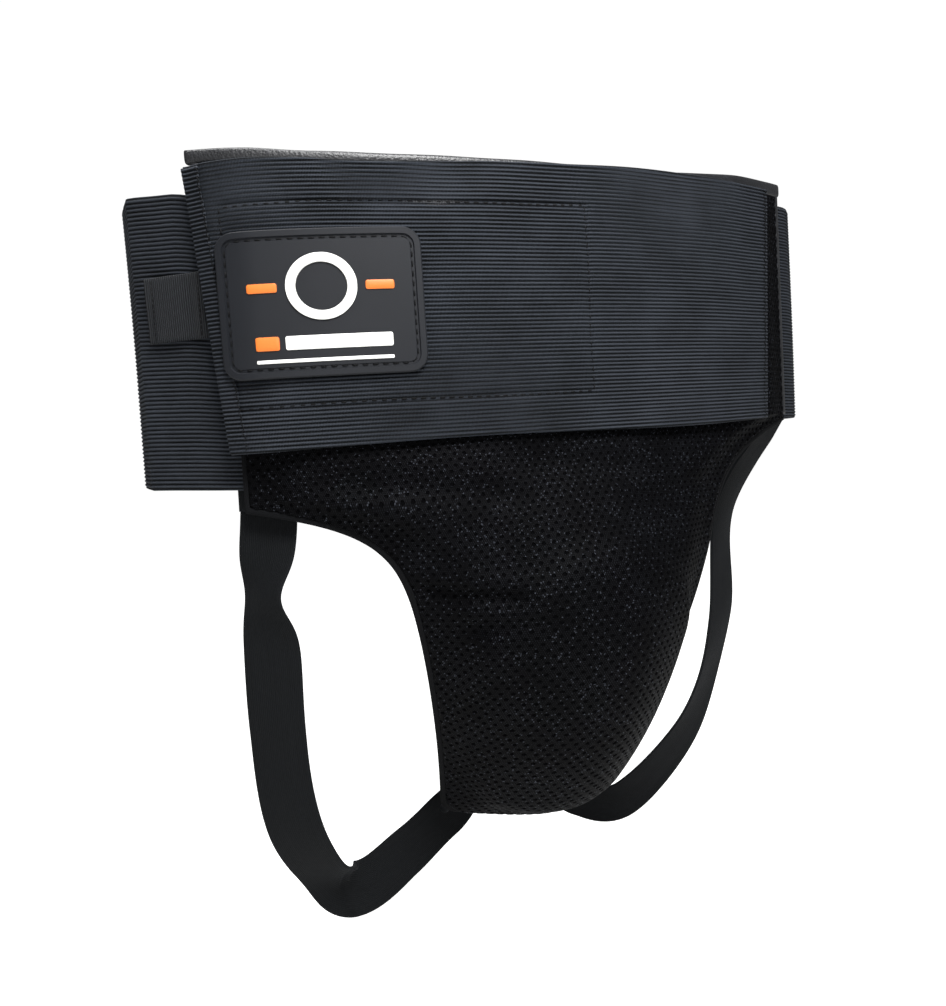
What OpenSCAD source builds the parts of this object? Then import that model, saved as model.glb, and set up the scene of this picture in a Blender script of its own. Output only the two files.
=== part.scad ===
// Groin protector worn on a wide elastic belt: padded front panel with a hard cup inside,
// a hook-and-loop front flap, and two leg straps.  Millimetres, X wearer-left to right as
// seen from the front, Y towards the back, Z up, origin in the middle of the belt opening.

/* [Belt] */
// half the inside width of the belt, side to side
waist_half_width = 198; // [150:1:230]
// how far the front of the belt stands ahead of the side line
waist_front_depth = 87; // [60:1:110]
// how far the back of the belt stands behind the side line
waist_rear_depth = 62; // [45:1:110]
// squareness of the belt seen from above, 2 is a plain ellipse
waist_squareness = 2.18; // [2:0.05:2.6]
// height of the elastic band
band_height = 127; // [90:1:150]
// thickness of the elastic band
band_thickness = 2.1; // [1.2:0.1:3.5]
// how far the left end of the rear band hangs below the flap
rear_sag = 8; // [0:0.5:12]
// how much further its lower edge spreads down there
rear_flare = 10; // [0:0.5:12]
// how far the rear band runs under each end of the panel
band_overlap = 12; // [6:1:25]

/* [Panel] */
// belt length from the middle to each end of the panel
panel_half_length = 162; // [140:1:185]
// how far the panel edge stands above the band
panel_rise = 2.5; // [1:0.5:8]
// how much more the panel edge stands up at its two ends
corner_rise = 4; // [0:0.5:7]
// depth of the panel below the band
pad_drop = 212; // [150:1:230]
// how far the left wing reaches below the band
wing_drop_left = 28; // [10:1:35]
// how far the right wing reaches below the band
wing_drop_right = 2; // [2:1:35]
// how quickly the left leg cut-out narrows the wing
cut_run_left = 12; // [7:1:24]
// how quickly the right leg cut-out narrows the wing
cut_run_right = 13; // [7:1:24]
// half width of the pad at the top of the leg cut-outs
leg_half_width = 98; // [75:1:110]
// half width of the pad at the crotch
crotch_half_width = 56.5; // [40:1:75]
// half width of the bottom edge on the right
crotch_half_right = 46; // [40:0.5:70]
// how much further left the upper left corner lies
corner_lean = 12; // [0:1:16]
// corner radius at the crotch end
crotch_corner = 14; // [6:1:24]
// how far the lower edge tucks back between the legs
pad_tuck = 76; // [30:1:90]
// how far the lower pad leans to the left
pad_lean = 1.5; // [-6:1:6]
// how far the cup pushes the middle of the pad forward
cup_bulge = 40; // [15:1:50]

/* [Layers] */
// lining thickness
lining_thickness = 0.9; // [0.5:0.1:1.5]
// thickness of the foam in the middle of the panel
foam_thickness = 5.5; // [3:0.5:9]
// thickness of the foam at the edges of the panel
foam_edge = 1.0; // [0.8:0.1:2]
// thickness of the mesh cover
mesh_thickness = 1.8; // [1:0.1:3]
// width of the edge binding
binding_width = 4; // [3:0.5:8]

/* [Cup] */
// half width of the hard cup
cup_half_width = 54; // [38:1:58]
// half height of the hard cup
cup_half_height = 62; // [45:1:66]
// margin between the cup's rim and the bottom edge of the panel
cup_bottom_margin = 19; // [12:1:40]
// wall of the hard cup
cup_wall = 2.6; // [2:0.1:4]
// width of the soft rim round the cup
cup_rim_width = 5; // [3:0.5:8]

/* [Front flap] */
// left end of the flap at its top edge, along the belt
flap_left_top = 176; // [166:1:190]
// left end of the flap at its bottom edge, along the belt
flap_left_bottom = 163; // [160:1:180]
// right end of the flap at its top edge, along the belt
flap_right_top = 130; // [110:1:150]
// right end of the flap at its bottom edge, along the belt
flap_right_bottom = 122; // [100:1:150]
// width of the folded hem at the left end
hem_width = 6; // [4:0.5:12]
// gap between the hem and the hook patch, along the belt
hook_margin = 2.5; // [0:0.5:20]
// right end of the hook patch
hook_right = 6; // [0:1:80]
// height of the hook patch
hook_height = 95; // [60:1:110]
// thickness of the hook patch, and of the loop panel
hook_thickness = 1.2; // [0.8:0.1:2]
// clearance between the flap and what it closes over
flap_gap = 0.5; // [0.3:0.1:1.5]

/* [Badge] */
// gap between the hem and the badge at half height, along the belt
badge_margin = 1.5; // [0:0.5:20]
// length of the badge
badge_length = 85; // [60:1:100]
// height of the badge
badge_height = 64; // [45:1:80]
// corner radius of the badge
badge_corner = 8; // [4:0.5:14]
// thickness of the badge
badge_thickness = 1.8; // [1:0.1:3]
// width of the raised rim of the badge
badge_rim_width = 3.2; // [2:0.1:6]

/* [Pull tab] */
// height of the pull tab
tab_height = 30; // [20:1:40]
// length of the pull tab past the end of the flap
tab_length = 33; // [15:1:45]
// thickness of the pull tab
tab_thickness = 1.5; // [1:0.1:2.5]

/* [Leg straps] */
// width of the webbing
strap_width = 27; // [20:1:34]
// thickness of the webbing
strap_thickness = 1.6; // [1.2:0.1:2.5]
// depth of the lowest point of the left loop below the belt middle
left_loop_drop = 291; // [275:1:330]
// depth of the lowest point of the right loop below the belt middle
right_loop_drop = 292; // [270:1:330]

/* [Hidden] */
half_band = band_height / 2;
top_z = half_band + panel_rise;
n_exp = 2 / waist_squareness;
trim_gap = 0.3;
thread = 0.7;

// ---------- small helpers ----------
function clamp(v) = v < 0 ? 0 : v > 1 ? 1 : v;
function smooth(v) = let (c = clamp(v)) c * c * (3 - 2 * c);
function mix(a, b, t) = a * (1 - t) + b * t;
function unit(v) = v / max(norm(v), 1e-9);
function steps(n) = [for (i = [0:n]) i / n];

// ---------- belt line seen from above ----------
function belt_xy(t) = [waist_half_width * sign(sin(t)) * pow(abs(sin(t)), n_exp),
    -sign(cos(t)) * (cos(t) > 0 ? waist_front_depth : waist_rear_depth) * pow(abs(cos(t)), n_exp)];
turn = [for (t = [-180:3:180]) t];
run = [for (i = 0, s = 0; i < len(turn);
    s = s + (i + 1 < len(turn) ? norm(belt_xy(turn[i + 1]) - belt_xy(turn[i])) : 0), i = i + 1) s];
mid_run = run[(len(turn) - 1) / 2];
belt_table = [for (i = [0:len(turn) - 1]) [run[i] - mid_run, turn[i]]];
belt_round = run[len(turn) - 1];
function belt_turn(s) = lookup(s, belt_table);
function belt_normal(t) = let (d = belt_xy(t + 1) - belt_xy(t - 1)) unit([d[1], -d[0]]);
// a point s along the belt from the front middle, at height z, h outside the wearer's side
function belt(s, z, h) = let (t = belt_turn(s), p = belt_xy(t), n = belt_normal(t))
    [p[0] + h * n[0], p[1] + h * n[1], z];

// ---------- outline of the panel: half length at each depth d below the band ----------
function side_drop(side) = side < 0 ? wing_drop_left : wing_drop_right;
function side_run(side) = side < 0 ? cut_run_left : cut_run_right;
function corner_cut(d) = let (q = max(0, crotch_corner - (pad_drop - d)))
    crotch_corner - sqrt(max(0, crotch_corner * crotch_corner - q * q));
function half_at(d, side) = let (w = side_drop(side), dd = min(max(d, 0), pad_drop))
    dd <= w ? panel_half_length + (side < 0 ? corner_lean * clamp(-d / band_height) : 0)
    : mix(leg_half_width, side < 0 ? crotch_half_width : crotch_half_right, (dd - w) / (pad_drop - w))
      + (panel_half_length - leg_half_width) * exp(-(dd - w) / side_run(side)) - corner_cut(dd);
// the same outline moved in by m on every side
function inset_at(d, side, m) = half_at(min(d + m, pad_drop), side) - m;

// ---------- surface of the panel ----------
function tuck(d) = pad_tuck * pow(clamp((d - 60) / (pad_drop - 60)), 1.65);
function bulge(d) = cup_bulge * pow(sin(180 * clamp(d / (1.35 * pad_drop))), 1.3);
function across(u) = let (c = min(1, abs(u))) 0.5 * (1 - c * c) + 0.25 * (1 + cos(180 * c));
function base(s, d) = let (side = s < 0 ? -1 : 1, b = belt(s, -half_band - d, 0),
    u = s / half_at(d, side))
    [b[0] - pad_lean * smooth(d / 90), b[1] + (d > 0 ? tuck(d) - bulge(d) * across(u) : 0),
     b[2] + corner_rise * pow(s / panel_half_length, 2) * smooth((-d - 50) / 70)];
function face(s, d) = let (e = 1.5)
    unit(cross(base(s, d + e) - base(s, d - e), base(s + e, d) - base(s - e, d)));
// a point on the panel, h outside the wearer's side
function panel(s, d, h) = base(s, d) + h * face(s, d);

// ---------- thickness of the layers ----------
function edge_room(s, d) = let (side = s < 0 ? -1 : 1)
    min(inset_at(d, side, binding_width) - abs(s), d + band_height + panel_rise, pad_drop - d);
function foam_at(s, d) = foam_edge + (foam_thickness - foam_edge) * smooth((edge_room(s, d) - 2) / 26);
foam_in = lining_thickness + 0.1;
function foam_out(s, d) = foam_in + foam_at(s, d);
cup_centre_drop = pad_drop - cup_bottom_margin - cup_half_height;
function cup_reach(s, d) = sqrt(pow(s / cup_half_width, 2) + pow((d - cup_centre_drop) / cup_half_height, 2));
function cup_lift(s, d) = (cup_wall + 1.2) * smooth((1.32 - cup_reach(s, d)) / 0.28);
function mesh_in(s, d) = foam_out(s, d) + 0.1 + cup_lift(s, d);
function mesh_out(s, d) = mesh_in(s, d) + mesh_thickness;
edge_top = lining_thickness + foam_edge + mesh_thickness + 0.4;
// outer face of the panel in the belt, and the layers of the flap over it
function belt_foam(s) = foam_edge + (foam_thickness - foam_edge) * smooth((panel_half_length + 1
    + (s < 0 ? corner_lean : 0) - abs(s)) / 30);
function loop_in(s) = foam_in + belt_foam(s) + 0.2 + mesh_thickness;
function hook_in(s) = loop_in(s) + hook_thickness + flap_gap;
function flap_in(s) = hook_in(s) + hook_thickness + 0.1
    - 2.4 * smooth((abs(s) - panel_half_length - 2) / 12);
function flap_out(s) = flap_in(s) + band_thickness;

// ---------- solids ----------
// a closed solid between an outer and an inner grid of points; rows may close on themselves
module skin(outer, inner, closed = false) {
    rows = len(outer);
    cols = len(outer[0]);
    all = concat([for (r = outer) for (p = r) p], [for (r = inner) for (p = r) p]);
    off = rows * cols;
    last = closed ? rows - 1 : rows - 2;
    function id(i, j) = (i % rows) * cols + j;
    faces = concat(
        [for (i = [0:last]) for (j = [0:cols - 2]) each [
            [id(i, j), id(i, j + 1), id(i + 1, j + 1)], [id(i, j), id(i + 1, j + 1), id(i + 1, j)]]],
        [for (i = [0:last]) for (j = [0:cols - 2]) each [
            [off + id(i, j), off + id(i + 1, j + 1), off + id(i, j + 1)],
            [off + id(i, j), off + id(i + 1, j), off + id(i + 1, j + 1)]]],
        [for (i = [0:last]) each [
            [id(i, 0), id(i + 1, 0), off + id(i + 1, 0)], [id(i, 0), off + id(i + 1, 0), off + id(i, 0)],
            [id(i, cols - 1), off + id(i + 1, cols - 1), id(i + 1, cols - 1)],
            [id(i, cols - 1), off + id(i, cols - 1), off + id(i + 1, cols - 1)]]],
        closed ? [] : [for (j = [0:cols - 2]) each [
            [id(0, j), off + id(0, j + 1), id(0, j + 1)], [id(0, j), off + id(0, j), off + id(0, j + 1)],
            [id(rows - 1, j), id(rows - 1, j + 1), off + id(rows - 1, j + 1)],
            [id(rows - 1, j), off + id(rows - 1, j + 1), off + id(rows - 1, j)]]]);
    polyhedron(points = all, faces = faces, convexity = 10);
}

// a strip of the belt between two lengths and two heights, h given as functions of s
module belt_strip(s0, s1, z0, z1, h0, h1, n) {
    g = [for (k = steps(n)) mix(s0, s1, k)];
    skin([for (s = g) [belt(s, z0, h1), belt(s, z1, h1)]],
         [for (s = g) [belt(s, z0, h0), belt(s, z1, h0)]]);
}

low_rows = concat([for (k = steps(4)) k * wing_drop_left],
    [for (k = [1:17]) wing_drop_left + (pad_drop - binding_width - trim_gap - wing_drop_left) * pow(k / 17, 1.3)]);
panel_rows = concat([for (k = [0:5]) -band_height - panel_rise + binding_width + trim_gap
    + k * (band_height + panel_rise - binding_width - trim_gap - 8) / 5], low_rows);
spread = [for (k = [-10:10]) k / 10];
function row_at(d, u) = let (side = u < 0 ? -1 : 1)
    u * inset_at(d, side, binding_width + trim_gap);

module panel_layer(kind) {
    outer = [for (d = panel_rows) [for (u = spread) let (s = row_at(d, u))
        panel(s, d, kind == 0 ? lining_thickness : kind == 1 ? foam_out(s, d) : mesh_out(s, d))]];
    inner = [for (d = panel_rows) [for (u = spread) let (s = row_at(d, u))
        panel(s, d, kind == 0 ? 0 : kind == 1 ? foam_in : mesh_in(s, d))]];
    skin(outer, inner);
}
module inner_lining() color("#1b1b1d") panel_layer(0);
module pad_foam() color("#5b5b60") panel_layer(1);
module mesh_cover() color("#141416") panel_layer(2);

// hard cup: rings round its middle
module cup_ring(r0, r1, h0, h1, rings) {
    ang = [for (a = [0:12:348]) a];
    rr = [for (k = steps(rings)) mix(r0, r1, k)];
    skin([for (a = ang) [for (r = rr) let (s = r * cup_half_width * sin(a),
             d = cup_centre_drop - r * cup_half_height * cos(a)) panel(s, d, foam_out(s, d) + h1)]],
         [for (a = ang) [for (r = rr) let (s = r * cup_half_width * sin(a),
             d = cup_centre_drop - r * cup_half_height * cos(a)) panel(s, d, foam_out(s, d) + h0)]], true);
}
rim_start = 1 - cup_rim_width / cup_half_width;
module cup_shell() color("#2c2c30") cup_ring(0.1, rim_start, 0.5, 0.5 + cup_wall, 6);
module cup_rim() color("#3a3a3e") cup_ring(rim_start + 0.006, 1, 0.5, 0.6 + cup_wall, 1);

module loop_panel() color("#202024")
    let (g = [for (k = steps(22)) mix(-panel_half_length + 9, flap_right_bottom - 16, k)], hh = hook_height / 2 + 3)
    skin([for (s = g) [belt(s, -hh, loop_in(s) + hook_thickness), belt(s, hh, loop_in(s) + hook_thickness)]],
         [for (s = g) [belt(s, -hh, loop_in(s)), belt(s, hh, loop_in(s))]]);

// folded strips over the raw edges of the panel
function on_top(s) = 0.5 + edge_top;
module top_binding() color("#101012")
    let (d0 = -band_height - panel_rise, d1 = d0 + binding_width, m = binding_width + trim_gap,
         g = [for (k = steps(24)) mix(-inset_at(d1, -1, m), inset_at(d1, 1, m), k)])
    skin([for (s = g) [panel(s, d1, on_top(s)), panel(s, d0, on_top(s))]],
         [for (s = g) [panel(s, d1, 0), panel(s, d0, 0)]]);
module end_binding(side) {
    g = steps(6);
    d0 = -band_height - panel_rise;
    function out(d) = side * half_at(d, side);
    function inn(d) = side * (half_at(d, side) - binding_width);
    function l(d) = side < 0 ? out(d) : inn(d);
    function r(d) = side < 0 ? inn(d) : out(d);
    skin([for (k = g) let (d = mix(d0, -2, k)) [panel(l(d), d, edge_top), panel(r(d), d, edge_top)]],
         [for (k = g) let (d = mix(d0, -2, k)) [panel(l(d), d, 0), panel(r(d), d, 0)]]);
}
module end_binding_left() color("#101012") end_binding(-1);
module end_binding_right() color("#101012") end_binding(1);
module leg_binding(side) {
    w = side_drop(side);
    g = concat([for (k = steps(3)) -1.7 + k * (w + 1.7)],
        [for (k = [1:22]) w + (pad_drop - w) * pow(k / 22, 1.25)]);
    m = binding_width;
    o = [for (d = g) side * half_at(d, side)];
    i = [for (d = g) side * (half_at(d, side) - m)];
    up = [for (d = g) d - m * smooth((d + 1.7) / (w + 1.7 + m))];
    skin([for (k = [0:len(g) - 1]) side < 0
             ? [panel(o[k], g[k], edge_top), panel(i[k], up[k], edge_top)]
             : [panel(i[k], up[k], edge_top), panel(o[k], g[k], edge_top)]],
         [for (k = [0:len(g) - 1]) side < 0
             ? [panel(o[k], g[k], 0), panel(i[k], up[k], 0)]
             : [panel(i[k], up[k], 0), panel(o[k], g[k], 0)]]);
}
module leg_binding_left() color("#101012") leg_binding(-1);
module leg_binding_right() color("#101012") leg_binding(1);
module crotch_binding() color("#101012")
    let (m = binding_width + trim_gap,
         g = [for (k = steps(12)) mix(m - half_at(pad_drop, -1), half_at(pad_drop, 1) - m, k)], d0 = pad_drop - binding_width, d1 = pad_drop)
    skin([for (s = g) [panel(s, d1, edge_top), panel(s, d0, edge_top)]],
         [for (s = g) [panel(s, d1, 0), panel(s, d0, 0)]]);

// the rear band hangs lower towards its left end
function round_at(s) = clamp(((s > 0 ? s : belt_round + s) - 150) / (belt_round - 300));
function sag_at(s) = rear_sag * round_at(s);
function low_sag_at(s) = (rear_sag + rear_flare) * round_at(s);
// rear band, on the wearer's side of the panel ends and round the back
module rear_waistband() color("#17171a")
    let (s0 = panel_half_length - band_overlap, s1 = belt_round - s0,
         g = [for (k = steps(44)) let (s = mix(s0, s1, k)) s > belt_round / 2 ? s - belt_round : s])
    skin([for (s = g) [belt(s, -half_band - low_sag_at(s), -0.3), belt(s, half_band - sag_at(s), -0.3)]],
         [for (s = g) [belt(s, -half_band - low_sag_at(s), -0.3 - band_thickness),
             belt(s, half_band - sag_at(s), -0.3 - band_thickness)]]);

module band_join_stitching() color("#26262a")
    for (side = [-1, 1])
        let (a = side * (panel_half_length - band_overlap + 3), z = half_band - 3)
        skin([for (k = steps(4)) [belt(a, mix(z, -z, k) - sag_at(a), -0.75 - band_thickness),
                 belt(a + 2.4, mix(z, -z, k) - sag_at(a), -0.75 - band_thickness)]],
             [for (k = steps(4)) [belt(a, mix(z, -z, k) - sag_at(a), -1.15 - band_thickness),
                 belt(a + 2.4, mix(z, -z, k) - sag_at(a), -1.15 - band_thickness)]]);

// ---------- flap ----------
function flap_left(z) = -mix(flap_left_bottom, flap_left_top, (z + half_band) / band_height);
function flap_right(z) = mix(flap_right_bottom, flap_right_top, (z + half_band) / band_height);
module front_flap() color("#202127")
    let (g = steps(34))
    skin([for (k = g) [for (z = [-half_band, 0, half_band]) let (s = mix(flap_left(z), flap_right(z), k))
             belt(s, z, flap_out(s))]],
         [for (k = g) [for (z = [-half_band, 0, half_band]) let (s = mix(flap_left(z), flap_right(z), k))
             belt(s, z, flap_in(s))]]);
module hook_patch() color("#2a2a2e")
    let (g = [for (k = steps(18)) mix(-hook_left, hook_right, k)], hh = hook_height / 2)
    skin([for (s = g) [belt(s, -hh, hook_in(s) + hook_thickness), belt(s, hh, hook_in(s) + hook_thickness)]],
         [for (s = g) [belt(s, -hh, hook_in(s)), belt(s, hh, hook_in(s))]]);
// a band on the outer face of the flap between two fractions of the way from one end
module on_flap(sa, sb, h0, h1, zs) {
    skin([for (z = zs) [belt(sa(z), z, flap_out(sa(z)) + h1), belt(sb(z), z, flap_out(sb(z)) + h1)]],
         [for (z = zs) [belt(sa(z), z, flap_out(sa(z)) + h0), belt(sb(z), z, flap_out(sb(z)) + h0)]]);
}
full_heights = [for (k = steps(6)) mix(half_band, -half_band, k)];
hook_left = (flap_left_top + flap_left_bottom) / 2 - hem_width - hook_margin;
module flap_end_hem() color("#1d1e23")
    on_flap(function (z) flap_left(z), function (z) flap_left(z) + hem_width, 0.3, 1.1, full_heights);
module hem_stitching() color("#34343a")
    on_flap(function (z) flap_left(z) + 1.2, function (z) flap_left(z) + hem_width - 1.2, 1.45, 1.8,
        [for (k = steps(6)) mix(half_band - 2, 2 - half_band, k)]);
module flap_seam_stitching() color("#34343a")
    on_flap(function (z) flap_right(z) - 5, function (z) flap_right(z) - 1.5, 0.3, 0.7,
        [for (k = steps(6)) mix(half_band - 2, 2 - half_band, k)]);

// closed rings on the outer face of the flap: an outline of [length, height] pairs
function box_ring(s0, s1, z0, z1, r) = [for (c = [0:3]) for (k = [0:4])
    let (cx = c == 0 || c == 3 ? s1 - r : s0 + r, cz = c < 2 ? z1 - r : z0 + r, a = c * 90 + k * 22.5)
    [cx + r * cos(a), cz + r * sin(a)]];
// the same outline with every side cut into short runs
function cut_ring(p, most) = [for (i = [0:len(p) - 1]) let (a = p[i], b = p[(i + 1) % len(p)],
    n = max(1, ceil(norm(b - a) / most))) for (k = [0:n - 1]) mix(a, b, k / n)];
module flap_ring(s0, s1, z0, z1, r, w, h0, h1, most = 12) {
    o = box_ring(s0, s1, z0, z1, r);
    i = box_ring(s0 + w, s1 - w, z0 + w, z1 - w, max(r - w, 0.4));
    po = cut_ring(o, most);
    pi = [for (a = [0:len(o) - 1]) let (b = (a + 1) % len(o), n = max(1, ceil(norm(o[b] - o[a]) / most)))
        for (k = [0:n - 1]) mix(i[a], i[b], k / n)];
    function at(q, h) = belt(q[0], q[1], flap_out(q[0]) + h);
    skin([for (k = [0:len(po) - 1]) [at(po[k], h1), at(pi[k], h1)]],
         [for (k = [0:len(po) - 1]) [at(po[k], h0), at(pi[k], h0)]], true);
}
module patch_stitching() color("#3a3a40")
    flap_ring(-hook_left + 2, hook_right - 2, 3 - hook_height / 2, hook_height / 2 - 3, 2, thread, 0.35, 0.65, 9);

// ---------- badge ----------
badge_left = (flap_left_top + flap_left_bottom) / 2 - hem_width - badge_margin;
badge_mid = -badge_left + badge_length / 2;
badge_under = 1.4;
module badge_base() {
    zs = [for (k = [-1, -0.94, -0.85, -0.7, 0, 0.7, 0.85, 0.94, 1]) k * badge_height / 2];
    function reach(z) = let (q = max(0, abs(z) - (badge_height / 2 - badge_corner)))
        badge_length / 2 - badge_corner + sqrt(max(0, badge_corner * badge_corner - q * q));
    cols = [for (k = [-9:9]) k / 9];
    function at(z, u, h) = let (s = badge_mid + u * reach(z)) belt(s, z, flap_out(s) + h);
    color("#2e2f33") skin([for (u = cols) [for (z = zs) at(z, u, badge_under + badge_thickness)]],
         [for (u = cols) [for (z = zs) at(z, u, badge_under)]]);
}
module badge_rim() color("#26272a")
    flap_ring(-badge_left + 0.2, badge_length - badge_left - 0.2, 0.2 - badge_height / 2,
        badge_height / 2 - 0.2, badge_corner, badge_rim_width, badge_under + badge_thickness + 0.2,
        badge_under + badge_thickness + 1.1, 6);
module badge_stitching() color("#3a3a40")
    let (m = badge_rim_width + 1.2)
    flap_ring(m - badge_left, badge_length - badge_left - m, m - badge_height / 2, badge_height / 2 - m,
        badge_corner - 2, thread, badge_under + badge_thickness + 0.2, badge_under + badge_thickness + 0.5, 6);
// plain ornament: a ring with a bar each side and two bars below
module badge_ring() {
    function at(a, r, h) = let (s = badge_mid + r * sin(a)) belt(s, 6 + r * cos(a),
        flap_out(s) + badge_under + badge_thickness + h);
    ang = [for (a = [0:15:345]) a];
    color("#d9d9d6") bar(badge_mid - 16, badge_mid + 28, -20, -14);
    color("#d9d9d6") bar(badge_mid - 28, badge_mid + 28, -25.5, -24);
    color("#d9d9d6") skin([for (a = ang) [at(a, 10.5, 1), at(a, 14.5, 1)]],
         [for (a = ang) [at(a, 10.5, 0.2), at(a, 14.5, 0.2)]], true);
}
module bar(s0, s1, z0, z1) {
    function at(s, z, h) = belt(s, z, flap_out(s) + badge_under + badge_thickness + h);
    g = steps(ceil((s1 - s0) / 6));
    skin([for (k = g) let (s = mix(s0, s1, k)) [at(s, z0, 1), at(s, z1, 1)]],
         [for (k = g) let (s = mix(s0, s1, k)) [at(s, z0, 0.2), at(s, z1, 0.2)]]);
}
module badge_bars() color("#d9682a") {
    bar(badge_mid - 30, badge_mid - 18, 4, 8);
    bar(badge_mid + 18, badge_mid + 30, 4, 8);
    bar(badge_mid - 28, badge_mid - 18.5, -20, -14);
}

// ---------- pull tab, turning at the left end of the flap ----------
tab_mid = 4;
tab_start = mix(flap_left_bottom, flap_left_top, (tab_mid + tab_height / 2 + half_band) / band_height) + 0.6;
function tab_in(s) = 0.5 + 2.6 * smooth((tab_start + 8 - abs(s)) / 8);
module tab_piece(s0, s1, z0, z1, h0, h1) {
    g = [for (k = steps(9)) mix(s0, s1, k)];
    skin([for (s = g) [belt(s, z0, tab_in(s) + h1), belt(s, z1, tab_in(s) + h1)]],
         [for (s = g) [belt(s, z0, tab_in(s) + h0), belt(s, z1, tab_in(s) + h0)]]);
}
module pull_tab() color("#3b3c42")
    tab_piece(-tab_start - tab_length, -tab_start, tab_mid - tab_height / 2, tab_mid + tab_height / 2,
        0, tab_thickness);
module pull_tab_stitching() color("#4a4b50")
    tab_piece(-tab_start - tab_length + 4, -tab_start - tab_length + 5.4, tab_mid + 2 - tab_height / 2,
        tab_mid + tab_height / 2 - 2, tab_thickness + 0.05, tab_thickness + 0.35);

// ---------- leg straps ----------
function bez(p, t) = let (u = 1 - t) u * u * u * p[0] + 3 * u * u * t * p[1] + 3 * u * t * t * p[2] + t * t * t * p[3];
hip_s = panel_half_length - 8;
// smooth line through a list of points, t from 0 to 1
function through(p, t) = let (n = len(p) - 1, q = min(t, 0.99999) * n, i = floor(q), f = q - i,
    a = p[max(i - 1, 0)], b = p[i], c = p[i + 1], d = p[min(i + 2, n)])
    0.5 * (2 * b + (c - a) * f + (2 * a - 5 * b + 4 * c - d) * f * f + (3 * b - 3 * c + d - a) * f * f * f);
function hip_point(side) = panel(side * hip_s, side_drop(side) + strap_lead, -6);
// a wider strap starts further from the panel's edge
strap_lead = strap_width * 7 / 27;
function crotch_s(side) = (side < 0 ? crotch_half_width - 14 : crotch_half_right - 19);
function crotch_point(side) = panel(side * (crotch_s(side) + 5), pad_drop + strap_lead, -13.5);
// how far from the hip to the crotch, and how far down, at five places along each strap, so
// that each loop hangs in the upright plane through its two ends
left_swing = [-0.04, -0.03, 0.03, 0.29, 0.66];
right_swing = [0.19, 0.24, 0.4, 0.71, 0.92];
fall = [0.2, 0.5, 0.8, 1, 1];
function rise(side) = side < 0 ? 2 : 1;
module strap_solid(side, drop) {
    a = hip_point(side);
    b = crotch_point(side);
    swing = side < 0 ? left_swing : right_swing;
    path = concat([a], [for (k = [0:4]) [mix(a[0], b[0], swing[k]), mix(a[1], b[1], swing[k]),
        mix(a[2], -drop, fall[k]) + (k < 4 ? 0 : rise(side))]], [b]);
    g = steps(36);
    wa = unit(belt(side * hip_s + 5, 0, 0) - belt(side * hip_s - 5, 0, 0));
    wb = unit([0.3 * side, 0.2, -side]);
    function width_at(t) = unit(mix(wa, wb, smooth((t - (side < 0 ? 0.5 : 0.4)) / 0.3)));
    function dir_at(t) = unit(through(path, min(1, t + 0.01)) - through(path, max(0, t - 0.01)));
    function flat_at(t) = let (w = width_at(t), f = dir_at(t)) unit(w - (w * f) * f);
    function thick_at(t) = unit(cross(flat_at(t), dir_at(t)));
    hw = strap_width / 2;
    ht = strap_thickness / 2;
    skin([for (t = g) let (c = through(path, t), w = flat_at(t), n = thick_at(t))
             [c - hw * w - ht * n, c + hw * w - ht * n]],
         [for (t = g) let (c = through(path, t), w = flat_at(t), n = thick_at(t))
             [c - hw * w + ht * n, c + hw * w + ht * n]]);
}
module leg_strap_left() color("#18181b") strap_solid(-1, left_loop_drop);
module leg_strap_right() color("#18181b") strap_solid(1, right_loop_drop);

// sewn ends of the webbing, on the wearer's side of the panel
module strap_end(s0, s1, d0, d1, h) {
    g = steps(5);
    skin([for (k = g) let (s = mix(s0, s1, k)) [panel(s, d1, h), panel(s, d0, h)]],
         [for (k = g) let (s = mix(s0, s1, k)) [panel(s, d1, h - strap_thickness), panel(s, d0, h - strap_thickness)]]);
}
module hip_end(side) {
    d = side_drop(side);
    strap_end(side * hip_s - strap_width / 2, side * hip_s + strap_width / 2, d - 20, d - 0.5, -1.6 - band_thickness);
}
module crotch_end(side) {
    c = side * crotch_s(side);
    strap_end(c - strap_width / 2, c + strap_width / 2, pad_drop - 24, pad_drop - 0.5, -1.3);
}
module strap_hip_end_left() color("#1c1c20") hip_end(-1);
module strap_hip_end_right() color("#1c1c20") hip_end(1);
module strap_crotch_end_left() color("#1c1c20") crotch_end(-1);
module strap_crotch_end_right() color("#1c1c20") crotch_end(1);

rear_waistband();
inner_lining();
pad_foam();
cup_shell();
cup_rim();
mesh_cover();
loop_panel();
top_binding();
end_binding_left();
end_binding_right();
leg_binding_left();
leg_binding_right();
crotch_binding();
strap_hip_end_left();
strap_hip_end_right();
strap_crotch_end_left();
strap_crotch_end_right();
band_join_stitching();
front_flap();
hook_patch();
flap_end_hem();
hem_stitching();
flap_seam_stitching();
patch_stitching();
badge_base();
badge_rim();
badge_ring();
badge_bars();
badge_stitching();
pull_tab();
pull_tab_stitching();
leg_strap_left();
leg_strap_right();
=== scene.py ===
import logging
import math
from dataclasses import dataclass, field
from enum import Enum
from typing import Callable, Sequence

import bmesh
import bpy
import numpy as np
from mathutils import Matrix, Vector


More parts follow.
